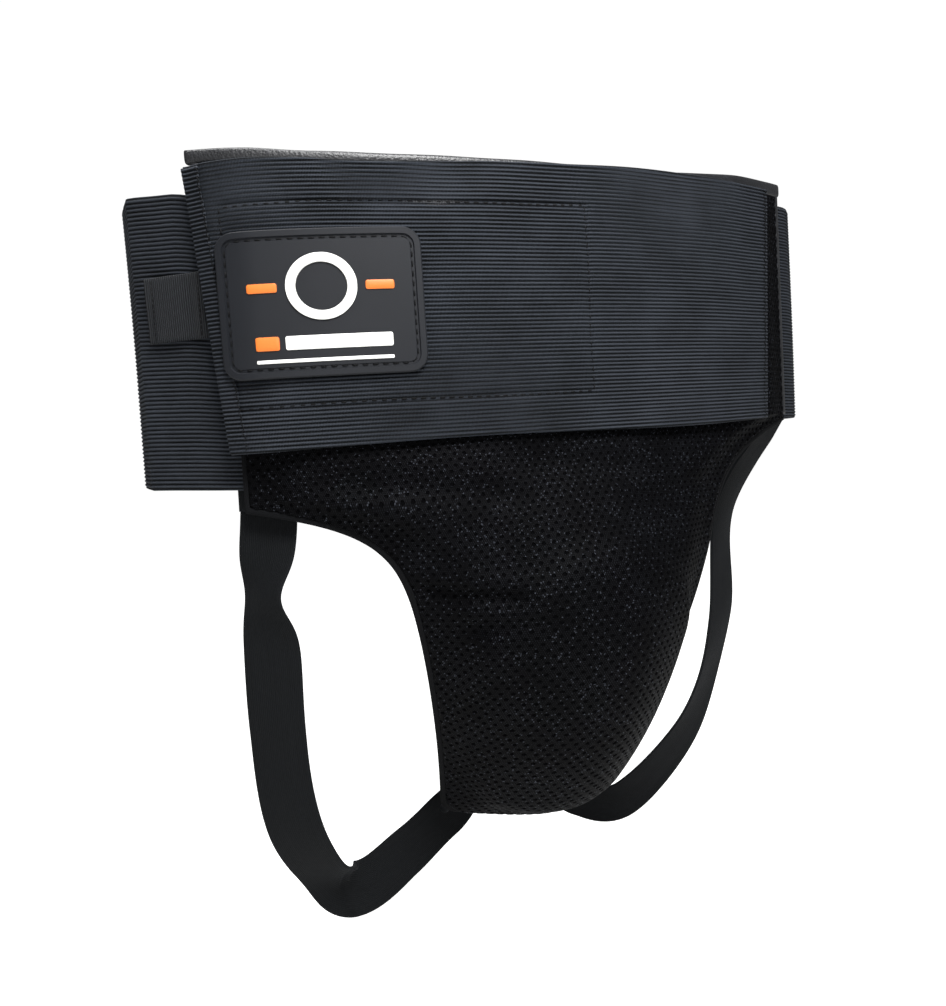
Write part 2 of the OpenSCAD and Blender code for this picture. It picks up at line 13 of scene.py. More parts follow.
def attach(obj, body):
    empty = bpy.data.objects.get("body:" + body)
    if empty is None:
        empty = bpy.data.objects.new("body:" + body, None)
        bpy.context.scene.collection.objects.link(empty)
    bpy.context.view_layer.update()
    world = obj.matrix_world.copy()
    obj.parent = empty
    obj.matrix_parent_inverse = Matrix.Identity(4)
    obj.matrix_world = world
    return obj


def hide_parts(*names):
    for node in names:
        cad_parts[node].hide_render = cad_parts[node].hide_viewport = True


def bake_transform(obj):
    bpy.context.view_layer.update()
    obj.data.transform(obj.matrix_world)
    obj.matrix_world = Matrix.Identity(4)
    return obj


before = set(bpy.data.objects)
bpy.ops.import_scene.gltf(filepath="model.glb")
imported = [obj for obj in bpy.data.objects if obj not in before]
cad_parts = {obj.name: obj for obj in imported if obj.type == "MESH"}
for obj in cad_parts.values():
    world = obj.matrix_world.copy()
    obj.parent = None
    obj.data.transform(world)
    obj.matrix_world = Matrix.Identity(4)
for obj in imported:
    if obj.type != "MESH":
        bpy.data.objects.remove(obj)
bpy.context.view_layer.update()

LOG = logging.getLogger("protector")
MM = 0.001
HALF_BAND = 63.5
Array = np.ndarray


# ---------------------------------------------------------------- small helpers
def clamp(value: Array) -> Array:
    """Values held between 0 and 1."""
    return np.clip(value, 0.0, 1.0)


def smooth(value: Array) -> Array:
    """Smooth step from 0 to 1."""
    c = clamp(value)
    return c * c * (3 - 2 * c)


def mix(a: Array, b: Array, t: Array) -> Array:
    """Straight line between a and b."""
    return a * (1 - t) + b * t


def unit(v: Array) -> Array:
    """Vectors brought to length one."""
    return v / np.maximum(np.linalg.norm(v, axis=-1, keepdims=True), 1e-9)


def srgb(code: str) -> tuple[float, float, float, float]:
    """Linear colour of a hex code.

    Args:
        code: six hex digits, with or without a leading #.

    Returns:
        Red, green, blue and alpha, ready for a colour socket.
    """
    parts = [int(code.lstrip("#")[i:i + 2], 16) / 255 for i in (0, 2, 4)]
    return (*[c / 12.92 if c <= 0.04045 else ((c + 0.055) / 1.055) ** 2.4 for c in parts], 1.0)


def spans(a: float, b: float, step: float, rim: float, extra: Sequence[float] = ()) -> Array:
    """Places from a to b, close together at the two ends.

    Args:
        a: first place, in mm.
        b: last place.
        step: widest spacing between.
        rim: width of the rounded edge, which gets four close lines.
        extra: places that must be among them.

    Returns:
        The sorted places.
    """
    way = 1 if b > a else -1
    close = np.array([0, 0.12, 0.45, 1.0]) * rim * way
    inner = np.linspace(a + way * rim, b - way * rim, max(2, math.ceil(abs(b - a) / step)))
    out = np.unique(np.round(np.concatenate([a + close, inner, b - close, list(extra)]), 5))
    return out if way > 0 else out[::-1]


# ---------------------------------------------------------------- meshes
def new_piece(name: str, points: Array, faces: Sequence[Sequence[int]], uv: Array,
              finish: bpy.types.Material) -> bpy.types.Object:
    """A mesh object at the origin from points in mm.

    Args:
        name: name of the piece.
        points: n by 3 points, in mm.
        faces: lists of point numbers, facing outwards.
        uv: n by 2 cloth coordinates, in mm.
        finish: its material.

    Returns:
        The new object, shaded smooth.
    """
    mesh = bpy.data.meshes.new(name)
    mesh.from_pydata((np.asarray(points) * MM).tolist(), [], [list(map(int, f)) for f in faces])
    layer = mesh.uv_layers.new(name="cloth")
    index = np.zeros(len(mesh.loops), np.int32)
    mesh.loops.foreach_get("vertex_index", index)
    layer.data.foreach_set("uv", np.asarray(uv, np.float32)[index].ravel())
    mesh.materials.append(finish)
    mesh.polygons.foreach_set("use_smooth", [True] * len(mesh.polygons))
    mesh.update()
    obj = bpy.data.objects.new(name, mesh)
    bpy.context.scene.collection.objects.link(obj)
    return obj


def edge_room(s: Array, z: Array) -> Array:
    """Distance of every place of a grid from the grid's nearest side, in mm."""
    rooms = []
    for axis in (0, 1):
        step = np.hypot(np.diff(s, axis=axis), np.diff(z, axis=axis))
        run = np.concatenate([np.zeros_like(np.take(s, [0], axis)), np.cumsum(step, axis)], axis)
        rooms.append(np.minimum(run, np.take(run, [-1], axis) - run))
    return np.minimum(*rooms)


def slab(name: str, s: Array, z: Array, at: Callable[[Array, Array, Array], Array],
         low: Array, high: Array, finish: bpy.types.Material, relief: Array = 0.0,
         relief_in: Array = 0.0, rim: float | None = None) -> bpy.types.Object:
    """A closed sheet with rounded edges, from a grid of places on a curved surface.

    Args:
        name: name of the piece.
        s: grid of lengths along the belt; s grows with the column number.
        z: grid of heights; z grows with the row number.
        at: gives the point at (length, height, distance outside the wearer's side).
        low: distance of the inner face.
        high: distance of the outer face.
        finish: its material.
        relief: added to the outer face.
        relief_in: taken from the inner face.
        rim: radius of the rounded edge, half the thickness if None.

    Returns:
        The new piece.
    """
    half = (high - low) / 2 + 0 * s
    middle = (high + low) / 2 + 0 * s
    radius = half if rim is None else rim
    e = clamp(edge_room(s, z) / radius)
    k = np.sqrt(np.maximum(0, 1 - (1 - e) ** 2))
    rows, cols = s.shape
    outer = at(s, z, middle + (half + relief) * k)
    inner = at(s, z, middle - (half + relief_in) * k)
    number = np.arange(rows * cols).reshape(rows, cols)
    inside = np.zeros((rows, cols), bool)
    inside[1:-1, 1:-1] = True
    back = number.copy()
    back[inside] = rows * cols + np.arange(inside.sum())
    quads = [np.stack([g[:-1, :-1], g[:-1, 1:], g[1:, 1:], g[1:, :-1]], -1).reshape(-1, 4)
             for g in (number, back)]
    faces = np.concatenate([quads[0], quads[1][:, ::-1]])
    points = np.concatenate([outer.reshape(-1, 3), inner[inside]])
    uv = np.concatenate([np.stack([s, z], -1).reshape(-1, 2), np.stack([s[inside], z[inside]], -1)])
    return new_piece(name, points, faces.tolist(), uv, finish)


def operated(add: Callable[[], None]) -> bpy.types.Object:
    """Runs an operator that adds a primitive, with nothing else selected, and returns it."""
    bpy.ops.object.select_all(action="DESELECT")
    add()
    return bpy.context.object


def pick_faces(obj: bpy.types.Object, test: Callable[[Vector, Vector], bool]) -> None:
    """In edit mode, selects the faces whose middle and normal pass a test."""
    bpy.ops.mesh.select_mode(type="FACE")
    bpy.ops.mesh.select_all(action="DESELECT")
    mesh = bmesh.from_edit_mesh(obj.data)
    for face in mesh.faces:
        face.select = test(face.calc_center_median(), face.normal)
    mesh.select_flush_mode()
    bmesh.update_edit_mesh(obj.data)


def pick_edges(obj: bpy.types.Object, test: Callable[[Vector, Vector], bool]) -> None:
    """In edit mode, selects the edges whose two ends pass a test."""
    bpy.ops.mesh.select_mode(type="EDGE")
    bpy.ops.mesh.select_all(action="DESELECT")
    mesh = bmesh.from_edit_mesh(obj.data)
    for edge in mesh.edges:
        edge.select = test(edge.verts[0].co, edge.verts[1].co)
    bmesh.update_edit_mesh(obj.data)


class Stitch:
    """One sewn stitch, modelled once as a short thread that dives into the cloth at both ends."""

    def __init__(self) -> None:
        """Models the stitch, one unit long, wide and high, and keeps its mesh as arrays."""
        obj = operated(lambda: bpy.ops.mesh.primitive_cylinder_add(
            vertices=6, radius=0.5, depth=1.0, rotation=(0, math.pi / 2, 0)))
        bpy.ops.object.transform_apply(location=True, rotation=True, scale=True)
        bpy.ops.object.mode_set(mode="EDIT")
        for _ in range(2):
            for way in (-1, 1):
                pick_faces(obj, lambda c, n, w=way: n.x * w > 0.9)
                bpy.ops.mesh.extrude_region_move(TRANSFORM_OT_translate={"value": (way * 0.18, 0, 0)})
                bpy.ops.transform.resize(value=(1, 0.72, 0.72))
        bpy.ops.mesh.select_all(action="SELECT")
        bpy.ops.mesh.normals_make_consistent(inside=False)
        bpy.ops.object.mode_set(mode="OBJECT")
        size = max(abs(v.co.x) for v in obj.data.vertices) * 2
        self.points = np.array([tuple(v.co) for v in obj.data.vertices])
        self.points[:, 0] /= size
        self.points[:, 2] -= 2.4 * self.points[:, 0] ** 2
        self.faces = [list(p.vertices) for p in obj.data.polygons]
        bpy.data.objects.remove(obj, do_unlink=True)

    def row(self, name: str, middles: Array, along: Array, out: Array, length: float,
            width: float, finish: bpy.types.Material) -> bpy.types.Object:
        """Copies the stitch along a seam.

        Args:
            name: name of the piece.
            middles: n by 3 middles of the stitches, in mm.
            along: n by 3 directions of the thread.
            out: n by 3 directions out of the cloth.
            length: length of one stitch.
            width: thickness of the thread.
            finish: its material.

        Returns:
            One piece that holds all the stitches.
        """
        x = unit(along)
        z = unit(out - (out * x).sum(-1, keepdims=True) * x)
        y = np.cross(z, x)
        p = self.points * np.array([length, width, width])
        points = (middles[:, None] + p[None, :, :1] * x[:, None] + p[None, :, 1:2] * y[:, None]
                  + p[None, :, 2:] * z[:, None]).reshape(-1, 3)
        n = len(self.points)
        faces = [[i + k * n for i in f] for k in range(len(middles)) for f in self.faces]
        uv = np.tile(p[:, :2], (len(middles), 1))
        return new_piece(name, points, faces, uv, finish)


# ---------------------------------------------------------------- shader maths
class Val:
    """A number socket, so that shader maths is written as a plain expression."""

    def __init__(self, tree: bpy.types.NodeTree, socket: bpy.types.NodeSocket) -> None:
        """Wraps a socket of a tree."""
        self.tree, self.socket = tree, socket

    def math(self, operation: str, *others: "Val | float", swap: bool = False) -> "Val":
        """Adds one Math node.

        Args:
            operation: what the node does.
            others: its further values.
            swap: puts the first other value before this one.

        Returns:
            The node's result.
        """
        node = self.tree.nodes.new("ShaderNodeMath")
        node.operation = operation
        values = [self, *others]
        if swap:
            values[0], values[1] = values[1], values[0]
        for socket, value in zip(node.inputs, values):
            if isinstance(value, Val):
                self.tree.links.new(value.socket, socket)
            else:
                socket.default_value = value
        return Val(self.tree, node.outputs[0])

    def __add__(self, o: "Val | float") -> "Val":
        """Sum."""
        return self.math("ADD", o)

    __radd__ = __add__

    def __sub__(self, o: "Val | float") -> "Val":
        """Difference."""
        return self.math("SUBTRACT", o)

    def __rsub__(self, o: float) -> "Val":
        """Difference from a number."""
        return self.math("SUBTRACT", o, swap=True)

    def __mul__(self, o: "Val | float") -> "Val":
        """Product."""
        return self.math("MULTIPLY", o)

    __rmul__ = __mul__

    def __truediv__(self, o: "Val | float") -> "Val":
        """Quotient."""
        return self.math("DIVIDE", o)

    def __pow__(self, o: float) -> "Val":
        """Power."""
        return self.math("POWER", o)

    def wave(self, pitch: float) -> "Val":
        """A wave from 0 to 1 and back in each pitch, 1 at whole pitches."""
        return (self * (2 * math.pi / pitch)).math("COSINE") * 0.5 + 0.5

    def near(self, full: float, none: float) -> "Val":
        """1 at or under full, 0 at or over none, smooth between."""
        node = self.tree.nodes.new("ShaderNodeMapRange")
        node.interpolation_type = "SMOOTHSTEP"
        for socket, value in zip(list(node.inputs)[1:5], (full, none, 1.0, 0.0)):
            socket.default_value = value
        self.tree.links.new(self.socket, node.inputs[0])
        return Val(self.tree, node.outputs[0])


class Shader:
    """One material being built: a Principled shader and what feeds it."""

    def __init__(self, name: str, **constants: float | tuple) -> None:
        """Starts a material.

        Args:
            name: name of the material.
            constants: values set on the shader's own sockets, spaces as underscores.
        """
        self.material = bpy.data.materials.new(name)
        self.material.use_nodes = True
        self.tree = self.material.node_tree
        self.tree.nodes.clear()
        self.surface = self.node("ShaderNodeBsdfPrincipled", {},
                                 {k.replace("_", " "): v for k, v in constants.items()})
        out = self.tree.nodes.new("ShaderNodeOutputMaterial")
        self.tree.links.new(self.surface.outputs[0], out.inputs[0])

    def node(self, kind: str, settings: dict, inputs: dict) -> bpy.types.Node:
        """Adds any node.

        Args:
            kind: its type.
            settings: its properties, set first.
            inputs: values or links of its sockets, by name or number.

        Returns:
            The node.
        """
        node = self.tree.nodes.new(kind)
        for key, value in settings.items():
            setattr(node, key, value)
        for key, value in inputs.items():
            socket = node.inputs[key]
            if isinstance(value, Val):
                self.tree.links.new(value.socket, socket)
            elif isinstance(value, bpy.types.NodeSocket):
                self.tree.links.new(value, socket)
            else:
                socket.default_value = value
        return node

    def cloth(self) -> tuple[Val, Val, bpy.types.NodeSocket]:
        """The piece's own cloth coordinates, in mm.

        Returns:
            Length, height, and both as a vector.
        """
        uv = self.node("ShaderNodeUVMap", {"uv_map": "cloth"}, {}).outputs[0]
        split = self.node("ShaderNodeSeparateXYZ", {}, {0: uv})
        return Val(self.tree, split.outputs[0]), Val(self.tree, split.outputs[1]), uv

    def place(self) -> bpy.types.NodeSocket:
        """Object coordinates, in metres."""
        return self.node("ShaderNodeTexCoord", {}, {}).outputs["Object"]

    def scaled(self, vector: bpy.types.NodeSocket, scale: tuple) -> bpy.types.NodeSocket:
        """A vector with each part scaled."""
        return self.node("ShaderNodeMapping", {}, {"Vector": vector, "Scale": scale}).outputs[0]

    def noise(self, vector: bpy.types.NodeSocket, scale: float, detail: float = 2.0,
              rough: float = 0.5) -> Val:
        """Soft noise from 0 to 1."""
        node = self.node("ShaderNodeTexNoise", {}, {
            "Vector": vector, "Scale": scale, "Detail": detail, "Roughness": rough})
        return Val(self.tree, node.outputs[0])

    def cells(self, vector: bpy.types.NodeSocket, scale: float, feature: str = "F1") -> Val:
        """Distance to the nearest of scattered points."""
        node = self.node("ShaderNodeTexVoronoi", {"feature": feature}, {
            "Vector": vector, "Scale": scale})
        return Val(self.tree, node.outputs["Distance"])

    def blend(self, a: tuple | bpy.types.NodeSocket, b: tuple | bpy.types.NodeSocket,
              factor: Val | float) -> bpy.types.NodeSocket:
        """A colour between a and b."""
        node = self.node("ShaderNodeMix", {"data_type": "RGBA"}, {0: factor, 6: a, 7: b})
        return node.outputs[2]

    def done(self, colour: tuple | bpy.types.NodeSocket, rough: Val | float,
             height: Val | None = None, depth: float = 0.0002) -> bpy.types.Material:
        """Joins colour, roughness and bump to the shader.

        Args:
            colour: base colour.
            rough: roughness.
            height: bump height from 0 to 1.
            depth: what height 1 stands for, in metres.

        Returns:
            The finished material.
        """
        for key, value in (("Base Color", colour), ("Roughness", rough)):
            socket = self.surface.inputs[key]
            if isinstance(value, Val):
                self.tree.links.new(value.socket, socket)
            elif isinstance(value, bpy.types.NodeSocket):
                self.tree.links.new(value, socket)
            else:
                socket.default_value = value
        if height is not None:
            bump = self.node("ShaderNodeBump", {}, {"Strength": 1.0, "Distance": depth,
                                                    "Height": height})
            self.tree.links.new(bump.outputs[0], self.surface.inputs["Normal"])
        return self.material


# ---------------------------------------------------------------- finishes
@dataclass(frozen=True)
class RibbedElastic:
    """Woven elastic with fat ribs that run along it, and fine warp threads over them."""

    name: str = "ribbed_elastic"
    rib: float = 127 / 69
    thread: float = 0.62
    light: str = "#32363d"
    dark: str = "#010202"
    turned: bool = False

    def build(self) -> bpy.types.Material:
        """Makes the material.

        Returns:
            The material, which reads the piece's cloth coordinates.
        """
        sh = Shader(self.name, Specular_IOR_Level=0.12, Sheen_Weight=0.03, Sheen_Roughness=0.4,
                    Sheen_Tint=srgb("#9096a4"))
        u, v, uv = sh.cloth()
        if self.turned:
            u, v = v, u
        crest = v.wave(self.rib)
        warp = (u + crest * 0.18).wave(self.thread)
        streak = sh.noise(sh.scaled(uv, (0.9, 0.03, 1) if self.turned else (0.03, 0.9, 1)), 1.0, 3)
        patch = sh.noise(uv, 0.035, 3)
        fuzz = sh.noise(uv, 2.4, 2)
        # The rib crests are painted lighter and the grooves between them darker: painted highlight on the crests
        # and painted shade in the grooves, over the cloth's own warp, streak, patch and fuzz tone.
        tone = crest * 0.8 + warp * 0.42 + streak * 0.5 + patch * 0.6 + fuzz * 0.65 - 1.03
        colour = sh.blend(srgb(self.dark), srgb(self.light), tone.near(1.0, 0.0))
        height = crest * 0.55 + warp * 0.3 + fuzz * 0.25
        return sh.done(colour, 0.88 - crest * 0.2 - fuzz * 0.1, height, 0.00042)


@dataclass(frozen=True)
class AirMesh:
    """Warp-knit spacer mesh with staggered oval holes."""

    name: str = "air_mesh"
    across: float = 4.6
    down: float = 2.8
    yarn: str = "#383b42"
    # Colour of the holes: painted shade.
    deep: str = "#020203"

    def build(self) -> bpy.types.Material:
        """Makes the material.

        Returns:
            The material, which reads the piece's cloth coordinates.
        """
        sh = Shader(self.name, Specular_IOR_Level=0.04)
        u, v, uv = sh.cloth()
        wobble = sh.noise(uv, 0.35, 1) * 0.7 - 0.35

        def hole(shift: float) -> Val:
            """Distance from the nearest hole of one of the two lattices, 1 at its rim."""
            a = ((u + wobble * 0.6) / self.across + shift).math("FRACT") - 0.5
            b = ((v + wobble * 0.5) / (2 * self.down) + shift).math("FRACT") - 0.5
            x, y = a * (self.across / 0.98), b * (2 * self.down / 0.92)
            return (x * x + y * y).math("SQRT")

        reach = hole(0.5).math("MINIMUM", hole(0.0))
        open_ = reach.near(0.62, 1.0)
        rim = reach.near(1.0, 1.9) - open_
        strand = (u + v * 0.55).wave(0.95) * (u - v * 0.55).wave(0.95)
        fine = sh.noise(uv, 3.1, 2)
        big = sh.noise(uv, 0.05, 2)
        # Small specks between the holes are painted lighter: painted highlight on the yarn, which is also less
        # rough there.
        painted_glint = (sh.cells(uv, 0.62).near(0.05, 0.3)) * (1 - open_)
        tone = strand * 0.3 + fine * 0.4 + big * 0.35 + painted_glint * 0.9 - 0.5
        # The holes are painted near black with the deep colour: painted shade inside the holes.
        colour = sh.blend(srgb(self.deep), sh.blend(srgb("#020203"), srgb(self.yarn), tone), 1 - open_)
        height = (1 - open_) * 0.7 + rim * 0.25 + strand * 0.16 + fine * 0.14
        return sh.done(colour, 0.62 + open_ * 0.3 - painted_glint * 0.22, height, 0.0007)


@dataclass(frozen=True)
class Webbing:
    """Soft ribbon webbing with fine ribs along it."""

    name: str = "soft_webbing"
    rib: float = 0.9
    light: str = "#101215"
    dark: str = "#030404"
    half_width: float = 13.5

    def build(self) -> bpy.types.Material:
        """Makes the material.

        Returns:
            The material, which reads the piece's cloth coordinates.
        """
        sh = Shader(self.name, Specular_IOR_Level=0.12, Sheen_Weight=0.04, Sheen_Roughness=0.35,
                    Sheen_Tint=srgb("#8a8f9c"))
        u, v, uv = sh.cloth()
        rib = u.wave(self.rib)
        pick = (v + rib * 0.3).wave(0.55)
        fuzz = sh.noise(uv, 2.2, 2)
        run = sh.noise(sh.scaled(uv, (0.9, 0.02, 1)), 1.0, 3)
        edge = u.math("ABSOLUTE").near(self.half_width - 0.3, self.half_width - 1.6) * -1 + 1
        tone = rib * 0.25 + pick * 0.16 + fuzz * 0.3 + run * 0.42 + (1 - edge) * 0.12 - 0.05
        colour = sh.blend(srgb(self.dark), srgb(self.light), tone)
        return sh.done(colour, 0.85 - rib * 0.12, rib * 0.5 + pick * 0.3 + fuzz * 0.25, 0.00016)


@dataclass(frozen=True)
class Grosgrain:
    """Stiff ribbon with crosswise ribs."""

    name: str = "cross_grosgrain"
    rib: float = 1.12
    light: str = "#26292e"
    dark: str = "#010101"

    def build(self) -> bpy.types.Material:
        """Makes the material.

        Returns:
            The material, which reads the piece's cloth coordinates.
        """
        sh = Shader(self.name, Specular_IOR_Level=0.15, Sheen_Weight=0.05, Sheen_Roughness=0.4)
        u, v, uv = sh.cloth()
        rib = u.wave(self.rib)
        pick = (v + rib * 0.2).wave(0.42)
        fuzz = sh.noise(uv, 2.6, 2)
        colour = sh.blend(srgb(self.dark), srgb(self.light),
                          rib * 0.75 + pick * 0.2 + fuzz * 0.4 - 0.3)
        return sh.done(colour, 0.75 - rib * 0.15, rib * 0.6 + pick * 0.2 + fuzz * 0.15, 0.0003)


@dataclass(frozen=True)
class Coated:
    """Grained coated fabric with a soft shine."""

    name: str = "grained_coating"
    base: str = "#0c0d0f"

    def build(self) -> bpy.types.Material:
        """Makes the material.

        Returns:
            The material, which reads Object coordinates.
        """
        sh = Shader(self.name, Specular_IOR_Level=0.5, Coat_Weight=0.15, Coat_Roughness=0.25)
        p = sh.place()
        grain = sh.cells(p, 900, "F1")
        fine = sh.noise(p, 2600, 2)
        # Patches of the grain are painted lighter grey: painted highlight on the grained coating; the same patches
        # are a little rougher.
        painted_sheen_patches = sh.noise(p, 60, 3)
        colour = sh.blend(srgb(self.base), srgb("#26272b"), painted_sheen_patches * grain * 1.4)
        return sh.done(colour, 0.3 + painted_sheen_patches * 0.2 + fine * 0.06, grain * 0.8 + fine * 0.25, 0.00022)


@dataclass(frozen=True)
class Plain:
    """A finish with grain and slow tone changes: knit lining, rubber, plastic, foam, thread."""

    name: str
    light: str
    dark: str
    rough: float
    grain: float
    depth: float
    specular: float = 0.35
    sheen: float = 0.0
    knit: float = 0.0

    def build(self) -> bpy.types.Material:
        """Makes the material.

        Returns:
            The material, which reads Object coordinates and, for a knit, the cloth's own.
        """
        sh = Shader(self.name, Specular_IOR_Level=self.specular, Sheen_Weight=self.sheen)
        p = sh.place()
        fine = sh.noise(p, self.grain, 3)
        slow = sh.noise(p, 35, 3)
        height, tone = fine, fine * 0.5 + slow * 0.7 - 0.1
        if self.knit:
            u, v, _ = sh.cloth()
            row = v.wave(self.knit)
            loop = (u + v.wave(self.knit * 2) * self.knit * 0.35).wave(self.knit) * 0.6 + row * 0.4
            height, tone = loop * 0.8 + fine * 0.3, tone * 0.8 + loop * 0.3
        colour = sh.blend(srgb(self.dark), srgb(self.light), tone)
        return sh.done(colour, self.rough - 0.12 + fine * 0.2, height, self.depth)


class Finish(Enum):
    """The finishes of this object, by the record's slots."""

    elastic_band = RibbedElastic()
    air_mesh = AirMesh()
    webbing = Webbing()
    grosgrain = Grosgrain()
    coated_fabric = Coated()
    lining = Plain("tricot_lining", "#0f1012", "#050506", 0.85, 1500, 0.00012, 0.08, 0.0, 0.8)
    foam = Plain("pad_foam_grey", "#6a6a70", "#3c3c42", 0.95, 1400, 0.0003)
    cup_plastic = Plain("cup_plastic", "#33343a", "#222327", 0.42, 700, 0.00004, 0.5)
    cup_rubber = Plain("cup_rubber", "#2c2d31", "#191a1d", 0.62, 900, 0.00006)
    hook_tape = Plain("hook_tape_nylon", "#2b2c31", "#08080a", 0.6, 1100, 0.0009, 0.4, 0.0, 1.5)
    loop_tape = Plain("loop_tape_pile", "#2d2e33", "#0e0e11", 0.95, 900, 0.0008, 0.2, 0.3)
    thread = Plain("sewing_thread", "#0e0f11", "#030304", 0.7, 2600, 0.0001, 0.15)
    badge_rubber = Plain("badge_rubber", "#191b20", "#111317", 0.58, 1800, 0.00003, 0.25)
    badge_pale = Plain("badge_pale", "#f2f2ee", "#dadad6", 0.5, 1600, 0.00002, 0.4)
    badge_orange = Plain("badge_orange", "#e07b30", "#c8621f", 0.5, 1600, 0.00002, 0.4)


class Wardrobe:
    """Builds each finish once and hands it out by slot."""

    def __init__(self) -> None:
        """Starts empty."""
        self.made: dict[Finish, bpy.types.Material] = {}

    def get(self, finish: Finish) -> bpy.types.Material:
        """The material of a finish, made on first use."""
        if finish not in self.made:
            self.made[finish] = finish.value.build()
        return self.made[finish]

    def dress(self, node: str, finish: Finish) -> None:
        """Gives a carried-over CAD node a finish."""
        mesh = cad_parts[node].data
        mesh.materials.clear()
        mesh.materials.append(self.get(finish))


def place(obj: bpy.types.Object, body: str, finish: Finish, *nodes: str) -> bpy.types.Object:
    """Rides a piece on a body and the CAD nodes it stands for.

    Args:
        obj: the piece.
        body: the body it moves with, or "" for none.
        finish: not used.
        nodes: CAD nodes it replaces.

    Returns:
        The same piece.
    """
    if body:
        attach(obj, body)
    if nodes:
        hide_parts(*nodes)
    LOG.info("%s: %d faces", obj.name, len(obj.data.polygons))
    return obj


# ---------------------------------------------------------------- surfaces
@dataclass
class Belt:
    """The waist line seen from above, and points on the band that follows it, in mm."""

    half_width: float = 198
    front: float = 87
    rear: float = 62
    squareness: float = 2.18
    half_height: float = HALF_BAND
    table: Array = field(init=False)
    run: Array = field(init=False)

    def __post_init__(self) -> None:
        """Measures the line once."""
        self.table = np.arange(-180, 181, 3.0)
        step = np.linalg.norm(np.diff(self.outline(self.table), axis=0), axis=1)
        run = np.concatenate([[0], np.cumsum(step)])
        self.run = run - run[len(run) // 2]
        self.round = run[-1]

    def outline(self, turn: Array) -> Array:
        """Points of the line at angles in degrees."""
        t = np.radians(turn)
        n = 2 / self.squareness
        c = np.round(np.cos(t), 12)
        s = np.round(np.sin(t), 12)
        depth = np.where(c > 0, self.front, self.rear)
        return np.stack([self.half_width * np.sign(s) * np.abs(s) ** n,
                         -np.sign(c) * depth * np.abs(c) ** n], -1)

    def normal(self, turn: Array) -> Array:
        """Outward directions at angles in degrees."""
        d = self.outline(turn + 1) - self.outline(turn - 1)
        return unit(np.stack([d[..., 1], -d[..., 0]], -1))

    def at(self, s: Array, z: Array, h: Array) -> Array:
        """Points at length s from the front middle, height z, h outside the wearer's side."""
        s, z, h = np.broadcast_arrays(np.asarray(s, float), z, h)
        wrapped = (s + self.round / 2) % self.round - self.round / 2
        turn = np.interp(wrapped, self.run, self.table)
        xy = self.outline(turn) + h[..., None] * self.normal(turn)
        return np.concatenate([xy, z[..., None]], -1)


